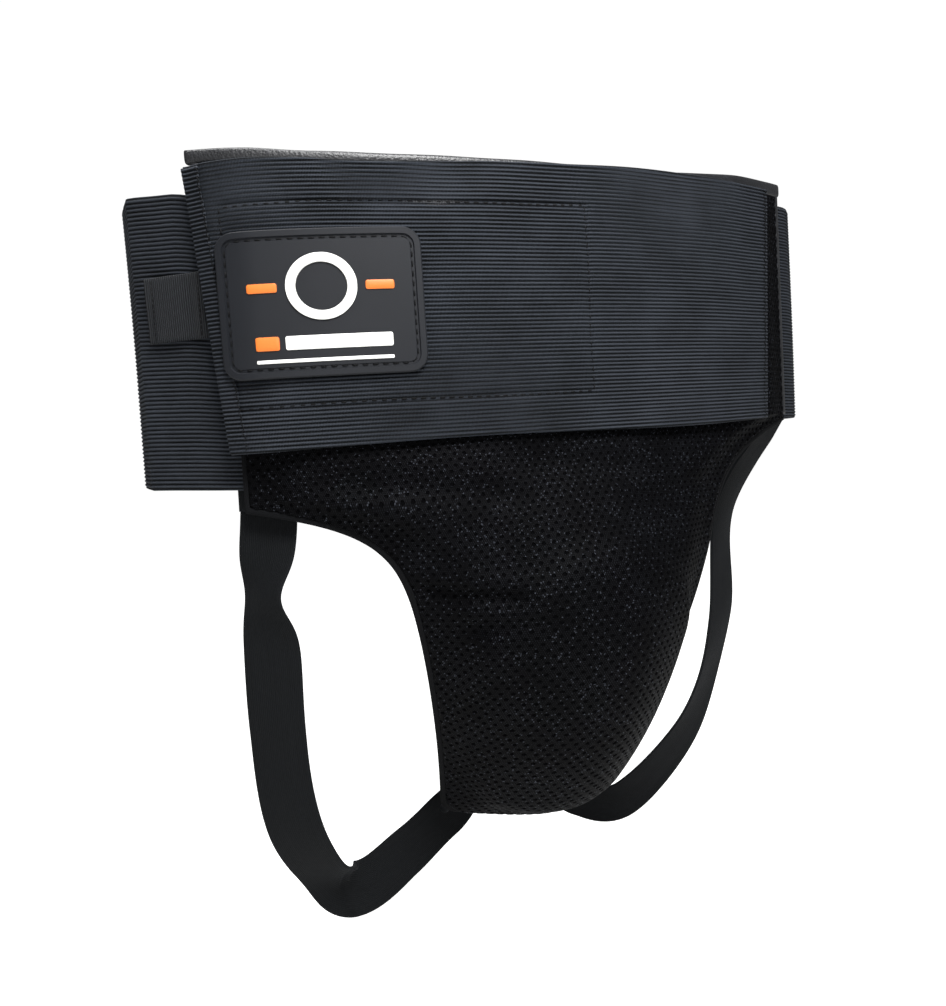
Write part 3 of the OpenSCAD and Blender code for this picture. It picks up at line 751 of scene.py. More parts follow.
@dataclass
class Panel:
    """The shaped front panel under the band: its outline and its curved surface, in mm."""

    belt: Belt
    half_length: float = 162
    rise: float = 2.5
    corner_rise: float = 4
    drop: float = 212
    wing: tuple[float, float] = (28, 2)
    run: tuple[float, float] = (12, 13)
    leg_half: float = 98
    bottom_half: tuple[float, float] = (56.5, 46)
    sewn_inset: tuple[float, float] = (14, 19)
    corner: float = 14
    lean: float = 1.5
    corner_lean: float = 12
    pad_tuck: float = 76
    cup_bulge: float = 40
    lining: float = 0.9
    foam: float = 5.5
    foam_edge: float = 1.0
    mesh: float = 1.8
    binding: float = 4
    hook: float = 1.2

    @property
    def edge_top(self) -> float:
        """Outer face of the folded strips over the raw edges."""
        return self.lining + self.foam_edge + self.mesh + 0.4

    def half_at(self, d: Array, side: Array) -> Array:
        """Half length of the panel at depth d under the band, on one side."""
        left = side < 0
        w = np.where(left, *self.wing)
        run = np.where(left, *self.run)
        low = np.where(left, *self.bottom_half)
        dd = np.clip(d, 0, self.drop)
        q = np.maximum(0, self.corner - (self.drop - dd))
        cut = self.corner - np.sqrt(np.maximum(0, self.corner ** 2 - q ** 2))
        top = self.half_length + np.where(left, self.corner_lean * clamp(-d / 127), 0)
        below = (mix(self.leg_half, low, (dd - w) / (self.drop - w))
                 + (self.half_length - self.leg_half) * np.exp(-np.maximum(dd - w, 0) / run) - cut)
        return np.where(dd <= w, top, below)

    def inset(self, d: Array, side: Array, m: float) -> Array:
        """The same outline moved in by m on every side."""
        return self.half_at(np.minimum(d + m, self.drop), side) - m

    def base(self, s: Array, d: Array) -> Array:
        """Points on the wearer's side of the panel."""
        side = np.where(s < 0, -1, 1)
        p = self.belt.at(s, -self.belt.half_height - d, 0.0)
        u = np.minimum(1, np.abs(s) / self.half_at(d, side))
        across = 0.5 * (1 - u * u) + 0.25 * (1 + np.cos(np.pi * u))
        tuck = self.pad_tuck * clamp((d - 60) / (self.drop - 60)) ** 1.65
        bulge = self.cup_bulge * np.sin(np.pi * clamp(d / (1.35 * self.drop))) ** 1.3
        p[..., 0] -= self.lean * smooth(d / 90)
        p[..., 1] += np.where(d > 0, tuck - bulge * across, 0)
        p[..., 2] += self.corner_rise * (s / self.half_length) ** 2 * smooth((-d - 50) / 70)
        return p

    def sewn_middle(self, side: int) -> float:
        """How far from the middle the strap of one side is sewn on, at the lower end."""
        k = 0 if side < 0 else 1
        return self.bottom_half[k] - self.sewn_inset[k]

    def at(self, s: Array, d: Array, h: Array) -> Array:
        """Points h outside the wearer's side of the panel, d below the band."""
        s, d, h = np.broadcast_arrays(np.asarray(s, float), d, h)
        e = 1.5
        face = unit(np.cross(self.base(s, d + e) - self.base(s, d - e),
                             self.base(s + e, d) - self.base(s - e, d)))
        return self.base(s, d) + h[..., None] * face

    def up(self, s: Array, z: Array, h: Array) -> Array:
        """The same with heights that grow upwards, as slab() wants."""
        return self.at(s, -self.belt.half_height - z, h)

    def mesh_out(self, s: Array, d: Array) -> Array:
        """Outer face of the mesh cover over foam and cup."""
        side = np.where(s < 0, -1, 1)
        room = np.minimum(np.minimum(self.inset(d, side, self.binding) - np.abs(s),
                                     d + 127 + self.rise), self.drop - d)
        foam = self.foam_edge + (self.foam - self.foam_edge) * smooth((room - 2) / 26)
        reach = np.hypot(s / 54, (d - 131) / 62)
        lift = 3.8 * smooth((1.32 - reach) / 0.28)
        return self.lining + 0.1 + foam + 0.1 + lift + self.mesh

    def loop_in(self, s: Array) -> Array:
        """Inner face of the loop panel in the belt."""
        foam = self.foam_edge + (self.foam - self.foam_edge) * smooth((163 + self.corner_lean * (s < 0)
                                                               - np.abs(s)) / 30)
        return 1.0 + foam + 0.2 + self.mesh

    def flap_in(self, s: Array) -> Array:
        """Inner face of the flap."""
        return self.loop_in(s) + 3.0 - 2.4 * smooth((np.abs(s) - 164) / 12)

    def flap_out(self, s: Array) -> Array:
        """Outer face of the flap."""
        return self.flap_in(s) + 2.1

    def on_flap(self, s: Array, z: Array, h: Array) -> Array:
        """Points h over the outer face of the flap."""
        return self.belt.at(s, z, self.flap_out(s) + h)


# ---------------------------------------------------------------- the panel
@dataclass
class FrontPanel:
    """Padded panel: mesh over foam and cup, lining, bindings, loop panel and sewn strap ends."""

    panel: Panel
    wear: Wardrobe
    stitch: Stitch
    hole_across: float = 4.6
    hole_down: float = 2.8
    hole_depth: float = 0.75

    def mesh_cover(self) -> bpy.types.Object:
        """The mesh cover with its foam: one padded piece with dimpled holes.

        Returns:
            The piece.
        """
        p = self.panel
        ds = np.concatenate([
            np.arange(-127 - p.rise + 2, -12, self.hole_down / 2),
            np.arange(-12 + 0.6, p.drop - 1, self.hole_down / 3)])
        ds = np.round(ds / (self.hole_down / 6)) * (self.hole_down / 6)
        ds = np.unique(ds)
        step = self.hole_across / 6
        ss = np.arange(-math.ceil(176 / step), math.ceil(166 / step) + 1) * step
        s, d = np.meshgrid(ss, ds)
        left = -p.inset(ds, np.full_like(ds, -1), 2.2)[:, None]
        right = p.inset(ds, np.full_like(ds, 1), 2.2)[:, None]
        s = np.clip(s, left, right)
        across = np.minimum(s - left, right - s)
        edge = np.minimum(np.minimum(across, d - d.min()), d.max() - d)
        a, b = s / self.hole_across, d / (2 * self.hole_down)
        holes = [np.hypot((np.mod(a + k, 1) - 0.5) * self.hole_across / 1.15,
                          (np.mod(b + k, 1) - 0.5) * 2 * self.hole_down / 1.05) for k in (0.0, 0.5)]
        dimple = clamp(1.25 - np.minimum(*holes)) * self.hole_depth * clamp(edge / 2)
        roll = 1.9 * (1 - np.sqrt(np.maximum(0, 1 - (1 - clamp(edge / 2.4)) ** 2)))
        h = p.mesh_out(s, d) - dimple - roll + self.folds(s, d)
        points = p.at(s, d, h)
        rows, cols = s.shape
        number = np.arange(rows * cols).reshape(rows, cols)
        quads = np.stack([number[1:, :-1], number[1:, 1:], number[:-1, 1:], number[:-1, :-1]], -1)
        obj = new_piece("mesh_pad", points.reshape(-1, 3), quads.reshape(-1, 4).tolist(),
                        np.stack([s, -d], -1).reshape(-1, 2), self.wear.get(Finish.air_mesh))
        work = bmesh.new()
        work.from_mesh(obj.data)
        bmesh.ops.remove_doubles(work, verts=work.verts, dist=1e-6)
        bmesh.ops.dissolve_degenerate(work, edges=work.edges, dist=1e-7)
        rim = [e for e in work.edges if e.is_boundary]
        turned = bmesh.ops.extrude_edge_only(work, edges=rim)["geom"]
        inward = [v for v in turned if isinstance(v, bmesh.types.BMVert)]
        work.normal_update()
        for v in inward:
            source = next(o for e in v.link_edges for o in [e.other_vert(v)] if o not in inward)
            v.co -= source.normal * 0.0012
        work.to_mesh(obj.data)
        work.free()
        obj.data.polygons.foreach_set("use_smooth", [True] * len(obj.data.polygons))
        place(obj, "panel", Finish.air_mesh, "mesh_cover", "pad_foam")
        return obj

    def folds(self, s: Array, d: Array) -> Array:
        """Soft waves and creases of the mesh over the foam, in mm."""
        def crease(s0: float, d0: float, s1: float, d1: float, width: float, deep: float) -> Array:
            """A soft groove along a straight line that fades at both ends."""
            along = np.array([s1 - s0, d1 - d0])
            length = np.hypot(*along)
            along = along / length
            t = ((s - s0) * along[0] + (d - d0) * along[1]) / length
            off = (s - s0) * along[1] - (d - d0) * along[0]
            fade = smooth(t / 0.25) * smooth((1 - t) / 0.25)
            return -deep * np.exp(-(off / width) ** 2) * fade + 0.5 * deep * np.exp(
                -((off - 2.2 * width) / (1.4 * width)) ** 2) * fade
        total = crease(-92, 68, -30, 78, 3.4, 2.8) + crease(-70, 88, -22, 86, 3.6, 1.9)
        total += crease(-140, 14, -20, 34, 6, 1.9) + crease(-60, 12, 70, 26, 7, 1.7)
        total += crease(20, 40, 85, 30, 6, 1.6) + crease(-110, 34, -66, 60, 5, 1.4)
        total += 0.6 * np.sin(s / 17 + d / 29) * smooth(d / 30) * np.exp(-np.maximum(d - 40, 0) / 40)
        return total

    def lining(self) -> bpy.types.Object:
        """The knit lining on the wearer's side.

        Returns:
            The piece.
        """
        p = self.panel
        ds = np.concatenate([np.linspace(p.drop - 1.2, p.drop - 12, 8), np.linspace(p.drop - 15, 30, 46),
                             np.linspace(28, 4, 14), np.linspace(0, -127 - p.rise + 1, 26)])
        us = np.concatenate([[-1, -0.995], np.linspace(-0.985, 0.985, 67), [0.995, 1]])
        d = np.repeat(ds[:, None], len(us), 1)
        u = np.repeat(us[None], len(ds), 0)
        side = np.where(u < 0, -1, 1)
        s = u * p.inset(d, side, 1.0)
        quilt = 0.35 * np.abs(np.sin(s / 11)) * smooth((d + 60) / 60)
        obj = slab("knit_lining", s, -p.belt.half_height - d, p.up, 0.0, 0.9,
                   self.wear.get(Finish.lining), 0.0, -quilt * 0.6)
        place(obj, "panel", Finish.lining, "inner_lining")
        d_fine = np.linspace(-127 - p.rise + 1, p.drop, 600)
        wide = p.half_at(d_fine, np.array(-1)) + p.half_at(d_fine, np.array(1))
        bulged = np.linalg.norm(np.diff(p.base(np.zeros(600), d_fine), axis=0), axis=1)
        return obj

    def strip(self, name: str, d: Array, s_a: Array, d_in: Array, s_b: Array, finish: Finish,
              low: float, high: float, *nodes: str, puff: float = 0.0) -> bpy.types.Object:
        """A folded strip between two lines on the panel, with a round cross-section.

        Args:
            name: name of the piece.
            d: depths of the outer line.
            s_a: lengths of the outer line.
            d_in: depths of the inner line.
            s_b: lengths of the inner line.
            finish: its finish.
            low: inner face, in mm from the wearer's side.
            high: outer face.
            nodes: CAD nodes it stands for.
            puff: extra height in the middle.

        Returns:
            The piece.
        """
        ring = np.linspace(0, 2 * math.pi, 20, endpoint=False)
        t = (1 - np.sign(np.cos(ring)) * np.abs(np.cos(ring)) ** 0.6) / 2
        k = np.sign(np.sin(ring)) * np.abs(np.sin(ring)) ** 0.55
        middle, half = (low + high) / 2, (high - low) / 2
        s = mix(s_a[:, None], s_b[:, None], t[None])
        dd = mix(d[:, None], d_in[:, None], t[None])
        h = middle + half * k[None] + puff * np.maximum(0, k[None]) + 0 * s
        points = self.panel.at(s, dd, h)
        n, m = s.shape
        number = np.arange(n * m).reshape(n, m)
        nxt = np.roll(number, -1, 1)
        quads = np.stack([number[:-1], number[1:], nxt[1:], nxt[:-1]], -1).reshape(-1, 4).tolist()
        caps = [number[0].tolist(), number[-1, ::-1].tolist()]
        run = np.concatenate([[0], np.cumsum(np.linalg.norm(np.diff(points[:, 0], axis=0), axis=1))])
        uv = np.stack([np.repeat(run[:, None], m, 1), np.repeat(ring[None] * 1.6, n, 0)], -1)
        obj = new_piece(name, points.reshape(-1, 3), quads + caps, uv.reshape(-1, 2),
                        self.wear.get(finish))
        work = bmesh.new()
        work.from_mesh(obj.data)
        bmesh.ops.recalc_face_normals(work, faces=work.faces)
        work.to_mesh(obj.data)
        work.free()
        return place(obj, "panel", finish, *nodes)

    def bindings(self) -> None:
        """Every folded strip round the panel."""
        p = self.panel
        top = -127 - p.rise
        a = -p.half_at(np.array(top), np.array(-1)) - 1.5
        s = np.linspace(float(a), p.half_length - 0.4, 220)
        wave = 0.5 * np.sin(s / 19) + 0.35 * np.sin(s / 7.3 + 1)
        lift = 2.6 * smooth((s - 60) / 60) + 1.2 * smooth((-120 - s) / 30)
        self.strip("top_facing", top - 0.5 + 0.3 * wave - lift, s, np.full(220, top + 4.6), s,
                   Finish.coated_fabric, 0.1, 0.5 + p.edge_top, "top_binding", puff=0.2)
        for side, name in ((-1, "left"), (1, "right")):
            d = np.linspace(top + 1, -1.5, 70)
            out = side * p.half_at(d, np.full(70, side))
            self.strip(f"end_facing_{name}", d, out, d, out - side * 4.4, Finish.coated_fabric,
                       0.1, p.edge_top, f"end_binding_{name}")
            w = p.wing[0 if side < 0 else 1]
            d = np.concatenate([np.linspace(-1.7, w, 24)[:-1],
                                w + (p.drop - w) * np.linspace(0, 1, 150) ** 1.25])
            m = 2.6
            out = side * p.half_at(d, np.full(len(d), side))
            up = d - m * smooth((d + 1.7) / (w + 1.7 + m))
            self.strip(f"leg_edge_{name}", d, out, up, side * (np.abs(out) - m), Finish.lining,
                       0.1, p.edge_top - 1.2, f"leg_binding_{name}")
        s = np.linspace(-p.half_at(np.array(p.drop), np.array(-1)) + 1, p.half_at(
            np.array(p.drop), np.array(1)) - 1, 90)
        self.strip("crotch_edge", np.full(90, p.drop), s, np.full(90, p.drop - 2.8), s, Finish.lining,
                   0.1, p.edge_top - 1.2, "crotch_binding")

    def loop_pad(self) -> bpy.types.Object:
        """The pile panel that the flap's hooks close on.

        Returns:
            The piece.
        """
        p = self.panel
        s = spans(-153, 106, 2.5, 0.6)
        z = spans(-50.5, 50.5, 2.5, 0.6)
        s, z = np.meshgrid(s, z)
        pile = 0.22 * np.sin(s * 1.7 + 2 * np.sin(z * 0.9)) * np.sin(z * 1.9)
        obj = slab("loop_pad", s, z, lambda a, b, h: p.belt.at(a, b, p.loop_in(a) + h), 0.0, 1.2,
                   self.wear.get(Finish.loop_tape), pile)
        place(obj, "panel", Finish.loop_tape, "loop_panel")
        return obj

    def strap_ends(self) -> None:
        """Sewn ends of the webbing on the wearer's side, each with a boxed row of stitches."""
        p = self.panel
        places = (("hip_end_left", -154.0, 8.0, 27.5, -4.5, "strap_hip_end_left"),
                  ("hip_end_right", 154.0, -18.0, 1.5, -4.5, "strap_hip_end_right"),
                  ("crotch_end_left", -p.sewn_middle(-1), p.drop - 24, p.drop - 0.5, -1.6, "strap_crotch_end_left"),
                  ("crotch_end_right", p.sewn_middle(1), p.drop - 24, p.drop - 0.5, -1.6, "strap_crotch_end_right"))
        for name, middle, d0, d1, h, node in places:
            s, z = np.meshgrid(spans(middle - 13.5, middle + 13.5, 1.2, 0.5),
                               spans(-HALF_BAND - d1, -HALF_BAND - d0, 1.2, 0.5))
            obj = slab(name, s, z, p.up, h - 0.8, h + 0.8, self.wear.get(Finish.webbing))
            obj.data.uv_layers["cloth"].data.foreach_set("uv", self.shifted(obj, middle))
            place(obj, "panel", Finish.webbing, node)
            line = np.array([[-10, 0.2], [10, 0.2], [10, 0.8], [-10, 0.8], [-10, 0.2], [10, 0.8]])
            rows = []
            for (a0, b0), (a1, b1) in zip(line[:-1], line[1:]):
                n = max(2, int(np.hypot(a1 - a0, (b1 - b0) * (d1 - d0)) / 2.6))
                t = (np.arange(n) + 0.5) / n
                rows.append(np.stack([mix(a0, a1, t), mix(b0, b1, t),
                                      np.full(n, a1 - a0), np.full(n, (b1 - b0) * (d1 - d0))], -1))
            r = np.concatenate(rows)
            ss, dd = middle + r[:, 0], mix(d0, d1, r[:, 1])
            mid = p.at(ss, dd, np.full(len(r), h - 0.95))
            step = unit(r[:, 2:])
            ahead = p.at(ss + step[:, 0], dd + step[:, 1], np.full(len(r), h - 0.95))
            out = mid - p.at(ss, dd, np.full(len(r), h))
            place(self.stitch.row(f"{name}_stitches", mid, ahead - mid, out, 2.1, 0.5,
                                  self.wear.get(Finish.thread)), "panel", Finish.thread)

    @staticmethod
    def shifted(obj: bpy.types.Object, middle: float) -> Array:
        """Cloth coordinates of a strap end, counted from its own middle line."""
        layer = obj.data.uv_layers["cloth"]
        uv = np.zeros(len(layer.data) * 2, np.float32)
        layer.data.foreach_get("uv", uv)
        uv[0::2] -= middle
        return uv

    def keeper(self) -> None:
        """The small rolled end of webbing that shows beside the left corner of the crotch."""
        p = self.panel
        n, m = 26, 16
        roll = np.linspace(-0.5, 1.35 * math.pi, n)[:, None]
        width = np.linspace(-1, 1, m)[None]
        centre = p.at(np.array(-52.0), np.array(p.drop - 7.0), np.array(-1.0))
        side = unit(p.at(np.array(-60.0), np.array(p.drop - 7.0), np.array(-1.0)) - centre)
        down = unit(p.at(np.array(-52.0), np.array(p.drop), np.array(-1.0)) - centre)
        face = np.cross(side, down)
        radius = 3.4 - 0.35 * roll
        points = []
        for r in (radius, radius - 1.3):
            points.append(centre + (side * (2.2 + r * np.sin(roll))[..., None]
                                    + face * (r * np.cos(roll))[..., None])
                          + down * (width * 8.5 + 0 * roll)[..., None])
        number = np.arange(n * m).reshape(n, m)
        q = np.stack([number[:-1, :-1], number[:-1, 1:], number[1:, 1:], number[1:, :-1]], -1)
        q = q.reshape(-1, 4)
        ring = np.concatenate([number[0, :-1], number[:-1, -1], number[-1, :0:-1], number[:0:-1, 0]])
        wall = [[a, b, b + n * m, a + n * m] for a, b in zip(ring, np.roll(ring, -1))]
        uv = np.stack(np.broadcast_arrays(width * 8.5, roll * 3.4), -1).reshape(-1, 2)
        obj = new_piece("rolled_keeper", np.concatenate([x.reshape(-1, 3) for x in points]),
                        q.tolist() + (q[:, ::-1] + n * m).tolist() + wall, np.tile(uv, (2, 1)),
                        self.wear.get(Finish.webbing))
        work = bmesh.new()
        work.from_mesh(obj.data)
        bmesh.ops.recalc_face_normals(work, faces=work.faces)
        work.to_mesh(obj.data)
        work.free()
        place(obj, "panel", Finish.webbing)

    def build(self) -> None:
        """Builds and dresses every piece of the panel."""
        self.mesh_cover()
        self.lining()
        self.bindings()
        self.loop_pad()
        self.strap_ends()
        self.keeper()
        self.wear.dress("cup_shell", Finish.cup_plastic)
        self.wear.dress("cup_rim", Finish.cup_rubber)


# ---------------------------------------------------------------- the bands
@dataclass
class Bands:
    """Ribbed elastic: the rear band and the front flap with its hem, seams and hook patch."""

    panel: Panel
    wear: Wardrobe
    stitch: Stitch
    ribs: int = 69
    amp: float = 0.33
    hem: float = 8.5
    left: tuple[float, float] = (163, 176)
    right: tuple[float, float] = (122, 130)
    patch: tuple[float, float, float] = (-161, 6, 47.5)

    def heights(self) -> Array:
        """Rows of the band, four to each rib."""
        return np.linspace(-HALF_BAND, HALF_BAND, self.ribs * 4 + 1)

    def rib(self, z: Array) -> Array:
        """Height of the ribs."""
        return self.amp * np.cos(2 * math.pi * z * self.ribs / 127)

    def flap_left(self, z: Array) -> Array:
        """Left end of the flap at a height."""
        return -mix(*self.left, (z + HALF_BAND) / 127)

    def flap_right(self, z: Array) -> Array:
        """Right end of the flap at a height."""
        return mix(*self.right, (z + HALF_BAND) / 127)

    def hang(self, obj: bpy.types.Object) -> None:
        """Bakes the placement of a piece of the flap into its mesh."""
        ends = [self.panel.belt.at(np.array(s), np.array(0.0), np.array(9.0)) * MM for s in (126, 106)]
        tuple(map(float, ends[0]))
        tuple(map(float, ends[1]))
        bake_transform(obj)

    def rear_band(self) -> bpy.types.Object:
        """The band round the back, sagging a little towards its left end.

        Returns:
            The piece.
        """
        belt = self.panel.belt
        s = spans(150, belt.round - 150, 4.5, 0.9)
        share = clamp((s - 150) / (belt.round - 300))
        f = (self.heights() + HALF_BAND) / 127
        wave = 0.5 * np.sin(s / 31) + 0.3 * np.sin(s / 13)
        q = belt.round - s
        high = HALF_BAND - 8 * share + 0.4 * wave - 3.6 * smooth((190 - q) / 25) + 1.6 * np.exp(
            -((q - 214) / 16) ** 2)
        low = -HALF_BAND - 18 * share - 0.4 * wave
        z = mix(low[None], high[None], f[:, None])
        ss = np.repeat(s[None], len(f), 0)
        rib = self.rib(f[:, None] * 127 + 0 * ss)
        ripple = 0.5 * np.sin(ss / 23 + z / 40) * smooth((np.abs(ss - 150) - 20) / 40)
        bent = belt.round - ss - 214
        ripple = ripple + 3.8 * np.exp(-np.abs(bent) / 9) - 1.4 * np.exp(-(bent / 30) ** 2)
        ripple = ripple + 3.6 * smooth((ss - 166) / 16) * smooth((250 - ss) / 60)
        obj = slab("rear_band", ss, z,
                   lambda a, b, h: belt.at(a, b, h + ripple), -2.4, -0.3,
                   self.wear.get(Finish.elastic_band), rib - 0.1, rib - 0.1)
        layer = obj.data.uv_layers["cloth"]
        uv = np.concatenate([np.stack([ss, f[:, None] * 127 + 0 * ss], -1).reshape(-1, 2),
                             np.stack([ss, f[:, None] * 127 + 0 * ss], -1)[1:-1, 1:-1].reshape(-1, 2)])
        index = np.zeros(len(obj.data.loops), np.int32)
        obj.data.loops.foreach_get("vertex_index", index)
        layer.data.foreach_set("uv", uv[index].astype(np.float32).ravel())
        place(obj, "panel", Finish.elastic_band, "rear_waistband")
        return obj

    def join_stitches(self) -> None:
        """Zigzag rows that sew the ends of the rear band to the panel."""
        belt = self.panel.belt
        mids, along, out = [], [], []
        for side in (-1, 1):
            low = 18 if side < 0 else 0
            zs = np.arange(-58 - low, 52 + (0 if side > 0 else -8), 2.2)
            for i, z in enumerate(zs):
                tilt = 1 if i % 2 else -1
                a = belt.at(np.array(side * 155.0), np.array(z), np.array(-2.75))
                b = belt.at(np.array(side * 155.0), np.array(z), np.array(-3.75))
                t = unit(belt.at(np.array(side * 155.0 + 1), np.array(z), np.array(-2.75)) - a)
                mids.append(a)
                along.append(t * tilt * 1.5 + np.array([0, 0, 2.0]))
                out.append(b - a)
        obj = self.stitch.row("join_stitches", np.array(mids), np.array(along), np.array(out), 2.5, 0.5,
                              self.wear.get(Finish.thread))
        place(obj, "panel", Finish.thread, "band_join_stitching")

    def wave(self, s: Array, z: Array) -> Array:
        """Slow waves of the flap and the pull of its sewn rectangle, in mm."""
        a, b, h = self.patch
        gap = np.maximum(np.maximum(a + 2 - s, s - b + 2), np.abs(z) - h + 3)
        pull = -0.95 * np.exp(-(gap / 1.4) ** 2)
        slow = 0.55 * np.sin(s / 27 + z / 55) + 0.35 * np.sin(s / 11 - z / 31 + 1)
        low_edge = 1.1 * np.sin(s / 33 + 0.6) * smooth((-z - 40) / 22) * (s < 110)
        dent = -1.3 * np.exp(-((s + 62) / 14) ** 2) * smooth((z - 30) / 25)
        return pull + slow * smooth((128 - s) / 20) * smooth((s + 150) / 12) + low_edge + dent

    def flap(self) -> bpy.types.Object:
        """The wide flap that closes across the front.

        Returns:
            The piece.
        """
        p = self.panel
        f = (self.heights() + HALF_BAND) / 127
        k = np.unique(np.round(np.concatenate([
            [0, 0.0004, 0.0016, 0.0035], np.linspace(0.006, 0.994, 100), [0.9965, 0.9984, 0.9996, 1],
            (np.array([-159.6, -159, -158.4, 3.4, 4, 4.6]) + 169.5) / 295.5]), 6))
        z0 = -HALF_BAND + 127 * f[:, None] + 0 * k[None]
        s = mix(self.flap_left(z0), self.flap_right(z0), k[None])
        sag = np.where(z0 > 0, -1.6 * np.exp(-((s + 100) / 24) ** 2), 0)
        lift = 0.9 * np.sin(s / 37) * (z0 / HALF_BAND) + sag * (z0 / HALF_BAND) ** 3
        z = z0 + lift
        wave = self.wave(s, z0)
        rib = self.rib(z0)
        obj = slab("front_band", s, z, lambda a, b, h: p.belt.at(a, b, h + wave),
                   p.flap_in(s) + 0.2, p.flap_out(s), self.wear.get(Finish.elastic_band),
                   rib - 0.1, rib * 0.6 - 0.2)
        place(obj, "", Finish.elastic_band, "front_flap")
        self.hang(obj)
        return obj

    def hem_fold(self) -> bpy.types.Object:
        """The folded end of the flap, sewn down along its inner side.

        Returns:
            The piece.
        """
        p = self.panel
        z0 = self.heights()[:, None]
        k = spans(0, self.hem, 1.0, 0.9)[None]
        s = self.flap_left(z0) - 0.5 + k + 0.25 * np.sin(z0 / 3.1) * (k > 7)
        z = z0 + 0 * k
        rib = self.rib(z + 0.4)
        obj = slab("flap_hem", s, z, lambda a, b, h: p.on_flap(a, b, h), -0.7, 0.75,
                   self.wear.get(Finish.elastic_band), rib, 0.0)
        place(obj, "flap", Finish.elastic_band, "flap_end_hem")
        return obj

    def zigzag(self, name: str, middle: Callable[[Array], Array], width: float, pitch: float,
               h: float, *nodes: str) -> bpy.types.Object:
        """A zigzag seam from the bottom to the top of the flap.

        Args:
            name: name of the piece.
            middle: length of the seam's middle line at a height.
            width: width of the zigzag.
            pitch: height of one stitch.
            h: distance over the flap.
            nodes: CAD nodes it stands for.

        Returns:
            The piece.
        """
        p = self.panel
        z = np.arange(-62, 62, pitch)
        turn = np.where(np.arange(len(z)) % 2 == 0, 1, -1)[:, None]
        s = middle(z)
        a = p.on_flap(s - width / 2, z - pitch / 2 * turn[:, 0], h)
        b = p.on_flap(s + width / 2, z + pitch / 2 * turn[:, 0], h)
        mid = (a + b) / 2
        out = p.on_flap(s, z, h + 1) - p.on_flap(s, z, h)
        obj = self.stitch.row(name, mid, b - a, out, math.hypot(width, pitch) * 0.95, 0.5,
                              self.wear.get(Finish.thread))
        return place(obj, "", Finish.thread, *nodes)

    def patch_ring(self) -> bpy.types.Object:
        """The dashed rectangle that sews the hook patch to the flap.

        Returns:
            The piece.
        """
        p = self.panel
        a, b, h = self.patch[0] + 2, self.patch[1] - 2, self.patch[2] - 3
        corners = [(a, h), (b, h), (b, -h), (a, -h), (a, h)]
        rows = []
        for (s0, z0), (s1, z1) in zip(corners[:-1], corners[1:]):
            length = math.hypot(s1 - s0, z1 - z0)
            n = round(length / 4.3)
            t = (np.arange(n) + 0.5) / n
            rows.append(np.stack([mix(s0, s1, t), mix(z0, z1, t), np.full(n, (s1 - s0) / length),
                                  np.full(n, (z1 - z0) / length)], -1))
        r = np.concatenate(rows)
        bend = 0.5 * np.sin(r[:, 0] / 21) + 0.35 * np.sin(r[:, 1] / 9)
        s, z = r[:, 0] + bend * np.abs(r[:, 3]), r[:, 1] + bend * np.abs(r[:, 2])
        hh = self.wave(s, z) + 0.02
        mid = p.on_flap(s, z, hh)
        ahead = p.on_flap(s + r[:, 2] * 1.5, z + r[:, 3] * 1.5, hh)
        out = p.on_flap(s, z, hh + 1) - mid
        obj = self.stitch.row("patch_stitches", mid, ahead - mid, out, 3.0, 1.0,
                              self.wear.get(Finish.thread))
        return place(obj, "flap", Finish.thread, "patch_stitching")

    def hooks(self) -> bpy.types.Object:
        """The hook patch behind the flap.

        Returns:
            The piece.
        """
        p = self.panel
        s, z = np.meshgrid(spans(-160.5, 5.5, 1.6, 0.5), spans(-47, 47, 1.6, 0.5))
        obj = slab("hook_pad", s, z,
                   lambda a, b, h: p.belt.at(a, b, p.flap_in(a) + h), -1.25, 0.1,
                   self.wear.get(Finish.hook_tape), 0.0, 0.12 * np.sin(s * 2) * np.sin(z * 2))
        place(obj, "flap", Finish.hook_tape, "hook_patch")
        return obj

    def build(self) -> None:
        """Builds and dresses the bands."""
        self.rear_band()
        self.join_stitches()
        self.flap()
        self.hem_fold()
        hem = self.zigzag("hem_stitches", lambda z: self.flap_left(z) + self.hem - 1.0, 1.2, 2.1, 0.95,
                          "hem_stitching")
        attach(hem, "flap")
        seam = self.zigzag("seam_stitches", lambda z: self.flap_right(z) - 3.2, 2.6, 1.9, 0.3,
                           "flap_seam_stitching")
        self.hang(seam)
        self.patch_ring()
        self.hooks()


